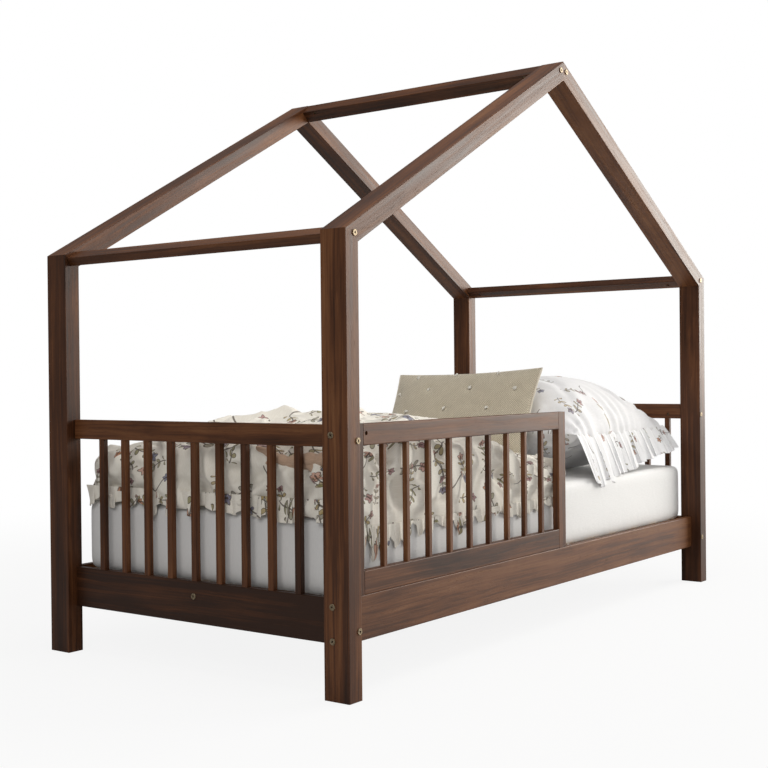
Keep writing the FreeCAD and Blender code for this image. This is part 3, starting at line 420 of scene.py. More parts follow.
def sprig_group():
    """Scattered sprigs, one to a cell: a curved stem, paired leaves and a bloom at the tip."""
    tree = bpy.data.node_groups.new("sprigs", "ShaderNodeTree")
    tree.interface.new_socket("Vector", in_out="INPUT", socket_type="NodeSocketVector")
    for name in ("Line", "Leaf", "Bloom"):
        tree.interface.new_socket(name, in_out="OUTPUT", socket_type="NodeSocketFloat")
    tree.interface.new_socket("Pick", in_out="OUTPUT", socket_type="NodeSocketColor")
    g = Graph(tree)
    entry, leave = g.node("NodeGroupInput"), g.node("NodeGroupOutput")
    place = entry.outputs[0]
    cells = g.node("ShaderNodeTexVoronoi", voronoi_dimensions="2D", feature="F1")
    cells.inputs["Scale"].default_value = 1.0
    cells.inputs["Randomness"].default_value = 0.8
    g.put(cells.inputs["Vector"], place)
    pick = g.split(cells.outputs["Color"])
    away = g.split(g.vmath("SUBTRACT", place, cells.outputs["Position"]))
    angle = g.math("MULTIPLY", pick[0], 2 * math.pi)
    cosine, sine = g.math("COSINE", angle), g.math("SINE", angle)
    x = g.math("ADD", g.math("MULTIPLY", away[0], cosine), g.math("MULTIPLY", away[1], sine))
    y = g.math("SUBTRACT", g.math("MULTIPLY", away[1], cosine), g.math("MULTIPLY", away[0], sine))
    curve = g.math("MULTIPLY", g.math("SINE", g.math("MULTIPLY", x, 6.0)), 0.07)
    off = g.math("ABSOLUTE", g.math("SUBTRACT", y, curve))
    along = g.math("ABSOLUTE", x)
    stem = g.math("MULTIPLY", g.span(off, 0.024, 0.012), g.span(along, 0.42, 0.38))
    spaced = g.math("MULTIPLY", g.math("SUBTRACT", g.math("FRACT", g.math("DIVIDE", x, 0.24)), 0.5), 0.24)
    rise = g.math("SUBTRACT", off, 0.080)
    long_way = g.math("ADD", g.math("MULTIPLY", spaced, 0.6), g.math("MULTIPLY", rise, 0.8))
    short_way = g.math("SUBTRACT", g.math("MULTIPLY", rise, 0.6), g.math("MULTIPLY", spaced, 0.8))
    oval = g.math("ADD", g.math("POWER", g.math("DIVIDE", long_way, 0.088), 2.0),
                  g.math("POWER", g.math("DIVIDE", short_way, 0.044), 2.0))
    leafy = g.math("MULTIPLY", g.span(along, 0.36, 0.34), g.span(pick[1], 0.25, 0.28))
    leaf = g.math("MULTIPLY", g.span(oval, 1.1, 0.9), leafy)
    vein = g.math("MULTIPLY", g.span(oval, 1.25, 1.05), g.span(oval, 0.62, 0.80))
    vein = g.math("MULTIPLY", vein, leafy)
    tip_x, tip_y = g.math("SUBTRACT", x, 0.36), g.math("SUBTRACT", y, 0.058)
    radius = g.math("SQRT", g.math("ADD", g.math("POWER", tip_x, 2.0), g.math("POWER", tip_y, 2.0)))
    turn = g.math("ARCTAN2", tip_y, tip_x)
    edge = g.math("ADD", 0.105, g.math("MULTIPLY", g.math("COSINE", g.math("MULTIPLY", turn, 5.0)), 0.030))
    gap = g.math("SUBTRACT", radius, edge)
    bloom = g.span(gap, 0.010, -0.006)
    rim = g.math("MULTIPLY", g.span(gap, 0.022, 0.008), g.span(gap, -0.012, 0.0))
    heart = g.span(radius, 0.034, 0.020)
    lines = g.math("MAXIMUM", g.math("MAXIMUM", stem, vein), g.math("MAXIMUM", rim, heart))
    for name, mask in (("Line", lines), ("Leaf", leaf), ("Bloom", bloom)):
        g.put(leave.inputs[name], mask)
    g.put(leave.inputs["Pick"], cells.outputs["Color"])
    return tree


SPRIGS = sprig_group()


def printed_cotton(name, colour, shade, layers, strength, **settings):
    """Cotton with a sparse printed sprig. Each layer is (sprigs per metre, turn, keep)."""
    material, g, shader, uv, slub = cloth(name, **settings)
    ground = g.mix(g.span(slub, 0.3, 0.7), shade, colour)
    for index, (density, turn, keep) in enumerate(layers):
        mapping = g.node("ShaderNodeMapping")
        g.put(mapping.inputs["Vector"], uv)
        mapping.inputs["Rotation"].default_value = (0, 0, turn)
        mapping.inputs["Location"].default_value = (3.7 * index + 11.3, 2.9 * index + 7.1, 0)
        mapping.inputs["Scale"].default_value = (density, density, density)
        sprigs = g.node("ShaderNodeGroup", node_tree=SPRIGS)
        g.put(sprigs.inputs[0], mapping.outputs[0])
        pick = g.split(sprigs.outputs["Pick"])
        kept = g.math("MULTIPLY", g.span(pick[2], 1 - keep, 1 - keep + 0.02), strength)
        leaf_colour = g.ramp(pick[1], ((0.30, rgb(0.20, 0.19, 0.09)), (0.48, rgb(0.42, 0.31, 0.12)),
                                       (0.66, rgb(0.30, 0.28, 0.24)), (0.85, rgb(0.26, 0.24, 0.10))))
        bloom_colour = g.ramp(pick[0], ((0.1, rgb(0.30, 0.13, 0.15)), (0.35, rgb(0.58, 0.34, 0.27)),
                                        (0.6, rgb(0.42, 0.15, 0.05)), (0.85, rgb(0.15, 0.16, 0.26))))
        for mask, ink in (("Leaf", leaf_colour), ("Bloom", bloom_colour), ("Line", rgb(0.060, 0.040, 0.030))):
            ground = g.mix(g.math("MULTIPLY", sprigs.outputs[mask], kept), ground, ink)
    g.put(shader.inputs["Base Color"], ground)
    return material


def woven(name, light, dark):
    """Coarse basket weave in beige yarn."""
    material, g, shader = new_material(name)
    uv = g.node("ShaderNodeUVMap", uv_map="cloth").outputs[0]
    wobble = g.noise(uv, 90.0, 2.0)[1]
    moved = g.split(g.vmath("ADD", uv, g.scale(wobble, (0.0016, 0.0016, 0))))
    warp = g.math("SINE", g.math("MULTIPLY", moved[0], 2 * math.pi * 150))
    weft = g.math("SINE", g.math("MULTIPLY", moved[1], 2 * math.pi * 150))
    knot = g.math("MULTIPLY", warp, weft)
    speck = g.noise(uv, 520.0, 2.0, 0.6)[0]
    blotch = g.noise(uv, 26.0, 3.0, 0.6)[0]
    # The weave's low places, which the bump also sinks, get the dark colour: painted shade in the weave's
    # hollows, mixed with the yarn's own specks. The blotches are random tone.
    share = g.math("ADD", g.math("MULTIPLY", g.span(knot, -0.8, 0.8), 0.55), g.math("MULTIPLY", speck, 0.45))
    colour = g.ramp(share, ((0.22, dark), (0.72, light)))
    g.put(shader.inputs["Base Color"], g.mix(g.math("MULTIPLY", g.span(blotch, 0.3, 0.7), 0.2), colour, dark))
    shader.inputs["Roughness"].default_value = 0.95
    shader.inputs["Specular IOR Level"].default_value = 0.12
    shader.inputs["Sheen Weight"].default_value = 0.3
    g.put(shader.inputs["Normal"], g.bump(share, 0.9, 0.0020))
    return material


SHEET = plain_cotton("sheet_cotton", rgb(0.77, 0.77, 0.77), rgb(0.73, 0.73, 0.73), crumple_depth=0.0012)
DUVET = printed_cotton("duvet_cotton", rgb(0.84, 0.81, 0.74), rgb(0.78, 0.74, 0.66),
                       ((9.5, 0.4, 0.85), (7.0, 1.9, 0.80)), 0.85)
PILLOW = printed_cotton("pillow_cotton", rgb(0.81, 0.81, 0.83), rgb(0.77, 0.77, 0.78),
                        ((11, 0.9, 0.50),), 0.75)
LINING = plain_cotton("lining_cotton", rgb(0.52, 0.36, 0.26), rgb(0.44, 0.30, 0.21))
BINDING = plain_cotton("tan_binding", rgb(0.50, 0.33, 0.17), rgb(0.40, 0.25, 0.12))
CREAM = plain_cotton("cream_cotton", rgb(0.72, 0.67, 0.57), rgb(0.64, 0.58, 0.48))
WEAVE = woven("cushion_weave", rgb(0.74, 0.67, 0.53), rgb(0.33, 0.28, 0.20))
YARN = plain_cotton("white_yarn", rgb(0.80, 0.78, 0.72), rgb(0.70, 0.67, 0.60))


def dress(obj, node, slot, *materials, fill=None, replaces=True):
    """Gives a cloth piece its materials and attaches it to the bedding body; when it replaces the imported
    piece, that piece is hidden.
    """
    obj.data.materials.clear()
    for material in materials:
        obj.data.materials.append(material)
    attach(obj, "bedding")
    if replaces:
        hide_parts(node)
    return obj


def crumple(points, count, seed, width, height, reach):
    """Folds for a puffed cloth: each is a ridge with a valley at one side, which fades out."""
    source = np.random.default_rng(seed)
    total = np.zeros(len(points))
    for _ in range(count):
        middle = points[source.integers(len(points))]
        across = source.normal(size=3)
        across /= np.linalg.norm(across)
        away = points - middle
        distance = np.einsum("ij,ij->i", away, away)
        size = source.uniform(0.6, 1.5)
        bend = 2.5 * source.normal() * distance / (reach * size)
        d = (away @ across + bend * 0.12) / (width * source.uniform(0.6, 1.4))
        fade = np.exp(-distance / (reach * size) ** 2)
        ridge, valley = np.exp(-np.abs(d) ** 1.4), 0.6 * np.exp(-(d - 1.5) ** 2)
        total += source.uniform(0.5, 1.0) * fade * (ridge - valley)
    return total * height


def frill(name, seam, out, fall, drop, reach, swing, pleats, seed, ragged=0.12, rows=10, per=12, lean=0.75):
    """A gathered strip of cloth on a seam line. out and fall are its outward and downward
    directions, drop its length along the seam, reach how far its hem stands out, swing the
    depth of its waves and lean how far they tip over. Returns it with its flat length and width."""
    source = np.random.default_rng(seed)
    count = pleats * per + 1
    share = np.linspace(0, 1, count)
    knots = np.linspace(0, 1, len(seam))
    base = np.stack([np.interp(share, knots, np.asarray(seam)[:, k]) for k in range(3)], 1)
    drops = np.interp(share, np.linspace(0, 1, len(drop)), drop)
    out, fall = np.asarray(out, float), np.asarray(fall, float)
    run = np.gradient(base, axis=0)
    run /= np.linalg.norm(run, axis=1)[:, None]
    jitter = sum(source.normal() * np.sin(share * math.pi * 2 * k + source.uniform(0, 6)) / k ** 0.5
                 for k in range(1, pleats))
    phase = 2 * math.pi * pleats * share + 0.5 * jitter
    swell = 0.8 + 0.3 * np.sin(phase * 0.43 + source.uniform(0, 6))
    uneven = sum(source.normal() * np.sin(share * math.pi * 2 * k + source.uniform(0, 6)) * 0.3
                 for k in range(2, pleats // 2 + 3))
    points, uvs = [], []
    for row in range(rows):
        t = row / (rows - 1)
        opened = 0.22 + 0.78 * t ** 0.8
        wave = np.sin(phase + 0.9 * t * np.sin(phase * 0.29)) * swell
        sway = np.sin(2 * phase + 0.6) * swell
        length = drops * t * (1 + ragged * t * uneven)
        outward = reach * t ** 0.8 + swing * opened * wave
        sideways = swing * lean * opened * sway
        points.append(base + fall * length[:, None] + out * outward[:, None] + run * sideways[:, None])
    steps = np.linalg.norm(np.diff(points[-1], axis=0), axis=1)
    along = np.concatenate([[0], np.cumsum(steps)])
    for row in range(rows):
        uvs += [(a + 5.1, row / (rows - 1) * float(np.mean(drops))) for a in along]
    obj = mesh_object(name, np.concatenate(points), grid_faces(rows, count), uvs)
    binding = [face // (count - 1) >= rows - 2 for face in range(len(obj.data.polygons))]
    obj.data.polygons.foreach_set("material_index", [int(flag) for flag in binding])
    flat = float(along[-1])
    return obj, flat, sum(face.area for face in obj.data.polygons) / flat


def finish_frill(made, node, slot, main, edge):
    obj, length, width = made
    dress(obj, node, slot, main, edge, replaces=False)
    shell = obj.modifiers.new("thickness", "SOLIDIFY")
    shell.thickness, shell.offset = 0.0009, 0.0
    subdivide(obj)
    return obj


def tube(name, path, radius, sides=8, closed=False):
    """Round cord along a list of points."""
    path = np.asarray(path, float)
    ahead = np.roll(path, -1, 0) - np.roll(path, 1, 0)
    if not closed:
        ahead[0], ahead[-1] = path[1] - path[0], path[-1] - path[-2]
    ahead /= np.linalg.norm(ahead, axis=1)[:, None]
    side = np.cross(ahead, (0.31, 0.22, 0.92))
    side /= np.linalg.norm(side, axis=1)[:, None]
    top = np.cross(ahead, side)
    points, uvs = [], []
    radii = np.broadcast_to(radius, len(path))
    angles = np.arange(sides) * 2 * math.pi / sides
    for index, spot in enumerate(path):
        for angle in angles:
            outward = side[index] * math.cos(angle) + top[index] * math.sin(angle)
            points.append(spot + radii[index] * outward)
            uvs.append((index * 0.004, angle * radii[index]))
    rings = len(path)
    faces = grid_faces(rings, sides, closed=True)
    if closed:
        last = (rings - 1) * sides
        faces += [(last + k, last + (k + 1) % sides, (k + 1) % sides, k) for k in range(sides)]
    else:
        faces.append(tuple(range(sides)))
        faces.append(tuple((rings - 1) * sides + k for k in range(sides)))
    return clean(mesh_object(name, points, faces, uvs), 1e-7)


# ---------------------------------------------------------------- mattress
def rounded_box(name, low, high, radius, step, square_foot=False):
    """A box with rounded edges. The cloth coordinates unfold its sides from its top."""
    low, high = np.array(low), np.array(high)
    inset = np.array((radius, radius, 0.0 if square_foot else radius))
    points, uvs, faces = [], [], []
    for axis in range(3):
        u_axis, v_axis = (axis + 1) % 3, (axis + 2) % 3
        for side in (0, 1):
            rows = max(4, int((high[v_axis] - low[v_axis]) / step))
            columns = max(4, int((high[u_axis] - low[u_axis]) / step))
            faces += grid_faces(rows, columns, len(points), flip=side == 0)
            for v in np.linspace(low[v_axis], high[v_axis], rows):
                for u in np.linspace(low[u_axis], high[u_axis], columns):
                    spot = np.zeros(3)
                    spot[axis] = (low, high)[side][axis]
                    spot[u_axis], spot[v_axis] = u, v
                    core = np.clip(spot, low + inset, high - radius)
                    away = spot - core
                    distance = np.linalg.norm(away)
                    points.append(core + away / distance * radius if distance > 1e-9 else spot)
                    unfold = np.array((spot[0], spot[1]))
                    if axis < 2:
                        unfold[axis] += (-1, 1)[side] * (high[2] - spot[2])
                    uvs.append(unfold)
    return mesh_object(name, points, faces, uvs)


def make_mattress():
    low, high = MATTRESS_LOW, MATTRESS_HIGH
    obj = rounded_box("mattress_cover", low, (high[0] + 0.002, high[1], high[2]), 0.026, 0.016)
    clean(obj, 1e-4)
    points, normals = points_of(obj), normals_of(obj)
    pull = wave_noise(points * (1, 1, 2.5), 9, 3) * 0.0014
    gather = np.sin(points[:, 0] * 210 + 2 * np.sin(points[:, 0] * 31)) * np.cos(points[:, 1] * 170)
    gather *= 0.0014 * smoothstep(points[:, 2], low[2] + 0.075, low[2] + 0.012)
    folds = crumple(points, 26, 4, 0.012, 0.0022, 0.14)
    set_points(obj, points + normals * (pull + gather + folds)[:, None] - normals * 0.0008)
    subdivide(obj)
    return dress(obj, "mattress", "sheet_cotton", SHEET, fill=0.9)


make_mattress()


# ---------------------------------------------------------------- duvet
DUVET_CROWN = 0.228      # height of the fullest place above the mattress
DUVET_FULL = 0.24        # height of the box that the duvet is shaped from
DUVET_EDGE = 0.062       # radius of its edges
OVERHANG = 0.050         # how far it hangs below the mattress top
FRILL_SEAM = 0.034       # depth of the side frills' seam below the mattress top
GUARD_FACE = 0.4672      # the cloth stops here, at the guard
CORNER_DRAW = 0.105      # how far the two corners at the pillow end lie back


def duvet_height(x, y):
    """Height of the duvet above the mattress, before its folds."""
    low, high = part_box("duvet")
    share = (x - low[0]) / (high[0] - low[0])
    height = DUVET_CROWN * (0.80 + 0.20 * smoothstep(share, 0.0, 0.42))
    height *= (1 - 0.49 * smoothstep(share, 0.56, 0.72) - 0.13 * smoothstep(share, 0.72, 0.94)
               - 0.14 * smoothstep(share, 0.94, 1.0))
    height *= 1 - 0.26 * np.abs(y / high[1]) ** 2.6
    return height * (1 - 0.10 * smoothstep(y, -0.05, 0.40))


def hem_share(x):
    """How much of its full overhang the duvet keeps: little at the foot of the bed."""
    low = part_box("duvet")[0]
    return 0.25 + 0.75 * smoothstep(x, low[0] + 0.03, low[0] + 0.16)


def make_duvet():
    """The quilt: a rounded box, lowered to its height, then given its folds and its fit."""
    low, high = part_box("duvet")
    start = (low[0] + 0.024, low[1] + 0.006, BED_TOP - OVERHANG)
    finish = (high[0] - 0.003, high[1] - 0.003, BED_TOP + DUVET_FULL)
    obj = rounded_box("duvet_quilt", start, finish, DUVET_EDGE, 0.0098, square_foot=True)
    clean(obj, 1e-4)
    spots = points_of(obj)
    above = np.maximum(spots[:, 2] - BED_TOP, 0)
    factor = duvet_height(spots[:, 0], spots[:, 1]) / DUVET_FULL
    hang = (spots[:, 2] - BED_TOP) * hem_share(spots[:, 0])
    spots[:, 2] = BED_TOP + np.where(above > 0, above * factor, hang)
    set_points(obj, spots)
    spots, normals = points_of(obj), normals_of(obj)
    lift = wave_noise(spots, 11, 5, 2) * 0.007
    lift += crumple(spots, 90, 6, 0.024, 0.022, 0.14)
    lift += crumple(spots, 320, 7, 0.012, 0.0150, 0.075)
    lift += crumple(spots, 620, 8, 0.0065, 0.0068, 0.045)
    lift *= smoothstep(spots[:, 2], BED_TOP - 0.035, BED_TOP + 0.02)
    spots = spots + normals * (lift - 0.004)[:, None]

    corner = smoothstep(np.abs(spots[:, 1]), 0.26, 0.46) * smoothstep(spots[:, 0], 0.0, high[0])
    spots[:, 0] -= CORNER_DRAW * corner
    spots[:, 1] = np.clip(spots[:, 1], -GUARD_FACE, GUARD_FACE)
    spots[:, 0] = np.clip(spots[:, 0], low[0] - 0.0012, high[0] + 0.004)
    beside = (spots[:, 2] < BED_TOP) & (np.abs(spots[:, 1]) > MATTRESS_HIGH[1] - 0.03)
    aside = np.sign(spots[:, 1]) * np.maximum(np.abs(spots[:, 1]), MATTRESS_HIGH[1] + 0.0015)
    spots[:, 1] = np.where(beside, aside, spots[:, 1])
    over = (np.abs(spots[:, 1]) < MATTRESS_HIGH[1] + 0.0008) & (spots[:, 0] > MATTRESS_LOW[0] - 0.0008)
    spots[:, 2] = np.where(over, np.maximum(spots[:, 2], BED_TOP + 0.0015), spots[:, 2])
    set_points(obj, spots)
    subdivide(obj)
    return dress(obj, "duvet", "duvet_cotton", DUVET, fill=0.45)


def duvet_frills():
    """Frills along both sides, hung from the overhang, and across the foot."""
    low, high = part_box("duvet")
    near = high[1] - 0.0025
    side_drop = [0.044, 0.060, 0.036, 0.030, 0.038, 0.026, 0.036, 0.028, 0.034]
    foot_drop = [0.048, 0.058, 0.040, 0.056, 0.050, 0.044]
    for name, side, seed in (("duvet_frill_near", -1, 31), ("duvet_frill_far", 1, 32)):
        span = np.linspace(low[0] + (0.02 if side < 0 else 0.14), high[0] - 0.125, 40)
        seam = [(x, side * (near - 0.0015), BED_TOP - FRILL_SEAM * hem_share(x)) for x in span]
        made = frill(name, seam, (0, side, 0), (0, 0, -1), side_drop, 0.0, 0.0038, 44, seed, ragged=0.35)
        finish_frill(made, "duvet", "duvet_cotton", DUVET, BINDING)
    across = np.linspace(-near + 0.012, near - 0.012, 40)
    seam = [(low[0] + 0.0085, y, BED_TOP + 0.040) for y in across]
    made = frill("duvet_frill_foot", seam, (-1, 0, 0), (0, 0, -1), foot_drop, 0.0, 0.0070, 20, 33,
                 ragged=0.40, lean=1.5)
    finish_frill(made, "duvet", "duvet_cotton", DUVET, BINDING)


def duvet_turnbacks():
    """Two rolls of turned-back lining at the near corner of the foot end."""
    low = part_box("duvet")[0]
    count = 60
    t = np.linspace(0, 1, count)
    rolls = ((0.146, -0.175, -0.450, 0.016), (0.112, -0.215, -0.452, 0.013))
    for index, (level, start, finish, radius) in enumerate(rolls, start=1):
        y = np.linspace(start, finish, count)
        z = BED_TOP + level + 0.016 * np.sin(t * 4.2 + level * 60) + 0.004 * np.sin(t * 13)
        path = np.stack([np.full(count, low[0] + 0.017), y, z], 1)
        thick = radius * (0.35 + 0.65 * np.sin(np.clip(t * 1.25, 0, 1) * math.pi / 2) ** 0.7)
        roll = tube(f"duvet_turnback_{index}", path, thick * (1 + 0.12 * np.sin(t * 40)), sides=14)
        subdivide(roll)
        dress(roll, "duvet", "duvet_cotton", LINING, replaces=False, fill=0.4)


make_duvet()
duvet_frills()
duvet_turnbacks()


# ---------------------------------------------------------------- pillow and cushion
def stuffed(name, half_u, half_v, crown, draw, count_u, count_v, back=1.0, power=0.6):
    """Closed form of two crowned faces that meet in a seam; the sides draw in between the
    corners. Flat in its own XY plane, thick along Z."""
    u = np.sin(np.linspace(-1, 1, count_u) * math.pi / 2)
    v = np.sin(np.linspace(-1, 1, count_v) * math.pi / 2)
    points, uvs, faces = [], [], []
    for side in (1, -1):
        faces += grid_faces(count_v, count_u, len(points), flip=side < 0)
        for b in v:
            for a in u:
                plump = max(0.0, (1 - abs(a) ** 2.6) * (1 - abs(b) ** 2.6)) ** power
                x = a * (half_u - draw * (1 - b * b))
                y = b * (half_v - draw * (1 - a * a))
                points.append((x, y, side * crown * plump * (1.0 if side > 0 else back)))
                uvs.append((x + 2.0 * (side < 0), y))
    obj = mesh_object(name, points, faces, uvs)
    return clean(obj, 1e-6)


PILLOW_NEAR, PILLOW_FAR = -0.40, 0.25
PILLOW_CROWN, PILLOW_DRAW = 0.186, 0.014
SEAM_Z = BED_TOP + 0.140
RUFFLE_PLEATS = 17


def make_pillow():
    low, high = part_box("pillow")
    foot, head = low[0], high[0]
    obj = stuffed("pillow_sham", (head - foot) / 2, (PILLOW_FAR - PILLOW_NEAR) / 2,
                  PILLOW_CROWN, PILLOW_DRAW, 111, 111, back=0.76)
    points = points_of(obj)
    points += ((foot + head) / 2, (PILLOW_NEAR + PILLOW_FAR) / 2, SEAM_Z)
    points[:, 2] = np.maximum(points[:, 2], BED_TOP + 0.001)
    set_points(obj, points)
    spots, normals = points_of(obj), normals_of(obj)
    from_seam = spots[:, 1] - PILLOW_NEAR
    bend = wave_noise(spots, 16, 24, 2)
    pleat = np.sin(spots[:, 0] * 92 + 2.6 * np.sin(spots[:, 0] * 19) + 2.0 * bend + 3 * from_seam)
    pleat *= 0.5 + 0.5 * wave_noise(spots, 22, 25, 1)
    pleat *= 0.0058 * smoothstep(from_seam, 0.20, 0.015) * smoothstep(from_seam, -0.01, 0.012)
    lift = wave_noise(spots, 10, 21, 2) * 0.005 + pleat
    lift += crumple(spots, 36, 22, 0.016, 0.007, 0.13) + crumple(spots, 60, 23, 0.008, 0.003, 0.07)
    lift *= smoothstep(spots[:, 2], BED_TOP + 0.004, BED_TOP + 0.03)
    set_points(obj, spots + normals * (lift - 0.003)[:, None])
    subdivide(obj)
    return dress(obj, "pillow", "pillow_cotton", PILLOW, fill=0.8)


def pillow_ruffle():
    low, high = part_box("pillow")
    foot, head = low[0] + 0.012, high[0] - 0.006
    middle, half = (foot + head) / 2, (head - foot) / 2
    seam = []
    for x in np.linspace(foot, head, 40):
        share = (x - middle) / half
        seam.append((x, PILLOW_NEAR + 0.016 * (1 - share * share) + 0.004, SEAM_Z + 0.004))
    drop = [0.168, 0.164, 0.152, 0.136, 0.116, 0.098, 0.086]
    share = np.linspace(0, 1, RUFFLE_PLEATS * 12 + 1)
    reach = np.interp(share, [0, 0.3, 0.6, 1], [0.071, 0.064, 0.050, 0.052])
    swing = np.interp(share, [0, 0.5, 1], [0.0055, 0.0100, 0.0125])
    made = frill("pillow_ruffle", seam, (0, -1, 0), (0, 0, -1), drop, reach, swing, RUFFLE_PLEATS, 41,
                 ragged=0.06, rows=14, per=12, lean=1.0)
    finish_frill(made, "pillow", "pillow_cotton", PILLOW, CREAM)


CUSHION_LEAN = math.radians(33)
CUSHION_TURN = math.radians(2.4)
CUSHION_SKEW = 0.05
CUSHION_HALF_WIDTH, CUSHION_HALF_HEIGHT = 0.284, 0.163
CUSHION_CROWN, CUSHION_DRAW = 0.052, 0.011
CUSHION_FOOT, CUSHION_RISE = (0.168, 0.020, 0.490), 0.165    # its low edge, and from there to its middle
TUFT_DIP = 0.006


def on_cushion(points):
    """Takes the cushion's own plane (x across, y up, z out of its front) to its place."""
    points = np.array(points, float)
    across, up = points[:, 0].copy(), points[:, 1].copy()
    points[:, 0] = across * math.cos(CUSHION_TURN) + up * (math.sin(CUSHION_TURN) + CUSHION_SKEW)
    points[:, 1] = up * math.cos(CUSHION_TURN) - across * math.sin(CUSHION_TURN)
    sine, cosine = math.sin(CUSHION_LEAN), math.cos(CUSHION_LEAN)
    turn = Matrix(((0, sine, -cosine), (1, 0, 0), (0, cosine, sine)))
    x, y, z = CUSHION_FOOT
    return points @ np.array(turn.transposed()) + (x + CUSHION_RISE * sine, y, z + CUSHION_RISE * cosine)


TUFTS = [(u, 0.072) for u in (-0.215, -0.050, 0.115, 0.250)]
TUFTS += [(u, v) for u in (-0.135, 0.032, 0.190) for v in (-0.010, 0.140)]
TUFTS += [(u, -0.092) for u in (-0.215, -0.050, 0.115, 0.250)]


def cushion_height(u, v):
    a, b = min(abs(u / CUSHION_HALF_WIDTH), 1.0), min(abs(v / CUSHION_HALF_HEIGHT), 1.0)
    return CUSHION_CROWN * max(0.0, (1 - a ** 2.6) * (1 - b ** 2.6)) ** 0.6


def cushion_pad():
    obj = stuffed("cushion_pad", CUSHION_HALF_WIDTH, CUSHION_HALF_HEIGHT, CUSHION_CROWN, CUSHION_DRAW, 97, 61)
    points = points_of(obj)
    dip = np.zeros(len(points))
    for u, v in TUFTS:
        away = (points[:, 0] - u) ** 2 + (points[:, 1] - v) ** 2
        dip += np.exp(-away / 0.016 ** 2) * TUFT_DIP * (points[:, 2] > 0.001)
    points[:, 2] -= dip
    points[:, 2] += wave_noise(points, 22, 51, 2) * 0.0025 * (np.abs(points[:, 2]) > 0.006)
    set_points(obj, on_cushion(points))
    clean(obj)
    subdivide(obj)
    dress(obj, "cushion", "cushion_weave", WEAVE, CREAM, fill=0.85)


def cushion_piping():
    corners = ((-1, -1), (1, -1), (1, 1), (-1, 1))
    rim = []
    for start, finish in zip(corners, corners[1:] + corners[:1]):
        for t in np.linspace(0, 1, 60, endpoint=False):
            a, b = np.array(start) * (1 - t) + np.array(finish) * t
            rim.append((a * (CUSHION_HALF_WIDTH - CUSHION_DRAW * (1 - b * b)),
                        b * (CUSHION_HALF_HEIGHT - CUSHION_DRAW * (1 - a * a)), 0))
    piping = tube("cushion_piping", on_cushion(rim), 0.0032, closed=True)
    dress(piping, "cushion", "cushion_weave", CREAM, replaces=False)


def cushion_tufts():
    """Short strands of yarn that spread from each tuft's dip."""
    source = np.random.default_rng(61)
    points, faces, uvs = [], [], []
    for u, v in TUFTS:
        z = cushion_height(u, v) - TUFT_DIP
        for _ in range(18):
            angle, spread = source.uniform(0, 2 * math.pi), source.uniform(0.002, 0.0085)
            path = []
            for t in np.linspace(0, 1, 5):
                path.append((u + math.cos(angle) * spread * t,
                             v + math.sin(angle) * spread * t - 0.003 * t * t,
                             z + 0.010 * t * (1.4 - t)))
            strand = tube("strand", on_cushion(path), 0.0014, sides=5)
            mesh = strand.data
            start = len(points)
            points += [tuple(corner.co) for corner in mesh.vertices]
            faces += [tuple(start + k for k in face.vertices) for face in mesh.polygons]
            uvs += [(0.001 * k, 0.002) for k in range(len(mesh.vertices))]
            bpy.data.objects.remove(strand)
            bpy.data.meshes.remove(mesh)
    tufts = mesh_object("cushion_tufts", points, faces, uvs)
    dress(tufts, "cushion", "cushion_weave", YARN, replaces=False)


make_pillow()
pillow_ruffle()
cushion_pad()
cushion_piping()
cushion_tufts()


# ---------------------------------------------------------------- studio
def area_light(name, place, target, size, power, colour=(1, 1, 1)):
    data = bpy.data.lights.new(name, "AREA")
    data.shape, data.energy, data.color = "RECTANGLE", power, colour
    data.size, data.size_y = size
    lamp = link(bpy.data.objects.new(name, data))
    lamp.location = place
    lamp.rotation_euler = (Vector(target) - Vector(place)).to_track_quat("-Z", "Y").to_euler()


def make_world():
    """Even light, and plain white where the camera sees it."""
    world = bpy.data.worlds.new("studio")
    bpy.context.scene.world = world
    world.use_nodes = True
    world.node_tree.nodes.clear()
    g = Graph(world.node_tree)
    rays = g.node("ShaderNodeLightPath")
    seen = g.math("MAXIMUM", rays.outputs["Is Camera Ray"], rays.outputs["Is Transmission Ray"])
    background = g.node("ShaderNodeBackground")
    background.inputs[0].default_value = rgb(1, 1, 1)
    g.put(background.inputs[1], g.math("ADD", g.math("MULTIPLY", seen, 0.70), 0.30))
    g.put(g.node("ShaderNodeOutputWorld").inputs[0], background.outputs[0])


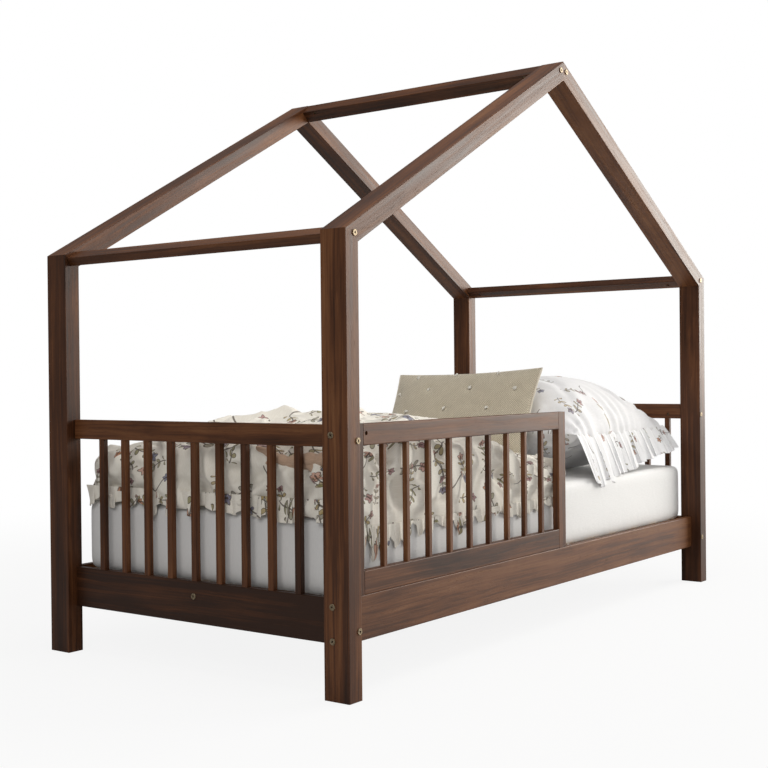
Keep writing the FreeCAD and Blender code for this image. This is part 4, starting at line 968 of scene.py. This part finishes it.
def make_floor():
    """A pale floor that keeps the bed's shadow and turns white with distance."""
    half = 14
    corners = [(-half, -half, 0), (half, -half, 0), (half, half, 0), (-half, half, 0)]
    floor = mesh_object("floor", corners, [(0, 1, 2, 3)], smooth=False)
    material, g, shader = new_material("floor_pale")
    shader.inputs["Base Color"].default_value = rgb(0.62, 0.62, 0.62)
    shader.inputs["Roughness"].default_value = 0.9
    shader.inputs["Specular IOR Level"].default_value = 0.1
    rays = g.node("ShaderNodeLightPath")
    glow = g.node("ShaderNodeEmission")
    glow.inputs[0].default_value = rgb(1, 1, 1)
    glow.inputs[1].default_value = 1.0
    blend = g.node("ShaderNodeMixShader")
    geometry = g.node("ShaderNodeNewGeometry")
    distance = g.node("ShaderNodeVectorMath", operation="LENGTH")
    g.put(distance.inputs[0], geometry.outputs["Position"])
    white = g.span(distance.outputs["Value"], 1.2, 4.0, 0.88, 1.0)
    g.put(blend.inputs[0], g.math("MULTIPLY", rays.outputs["Is Camera Ray"], white))
    g.put(blend.inputs[1], shader.outputs[0])
    g.put(blend.inputs[2], glow.outputs[0])
    for out in [node for node in g.tree.nodes if node.type == "OUTPUT_MATERIAL"]:
        g.put(out.inputs[0], blend.outputs[0])
    floor.data.materials.append(material)


def make_lights():
    area_light("window", (4.9, -3.0, 1.9), (0.0, -0.4, 0.9), (4.6, 2.8), 375, (1.0, 0.97, 0.91))
    area_light("top", (-0.6, -1.0, 4.2), (-0.2, 0, 0.6), (2.6, 2.6), 85, (1.0, 0.98, 0.95))
    area_light("fill", (-4.6, -1.6, 3.2), (-0.9, 0.1, 1.0), (2.4, 2.4), 60, (1.0, 0.97, 0.93))


IMAGE_WIDTH = 768            # pixels
FOCAL_LENGTH = 1266.74       # pixels
SENSOR = 36
CAMERA_PLACE = (-3.3414, -2.3191, 0.756)


def make_camera():
    """The camera, at the place and angle that the bed's own corners give."""
    yaw, tilt, roll = 0.9357, -0.0067, -0.0097
    ahead = Vector((math.sin(yaw) * math.cos(tilt), math.cos(yaw) * math.cos(tilt), math.sin(tilt)))
    right = Vector((math.cos(yaw), -math.sin(yaw), 0))
    up = right.cross(ahead)
    rolled_right = right * math.cos(roll) + up * math.sin(roll)
    rolled_up = up * math.cos(roll) - right * math.sin(roll)
    data = bpy.data.cameras.new("camera")
    data.sensor_width = SENSOR
    data.lens = FOCAL_LENGTH * SENSOR / IMAGE_WIDTH
    data.clip_start, data.clip_end = 0.05, 100
    camera = link(bpy.data.objects.new("camera", data))
    turn = Matrix((rolled_right, rolled_up, -ahead)).transposed()
    camera.matrix_world = Matrix.Translation(CAMERA_PLACE) @ turn.to_4x4()
    bpy.context.scene.camera = camera


make_world()
make_floor()
make_lights()
make_camera()
bpy.context.scene.view_settings.view_transform = "Standard"
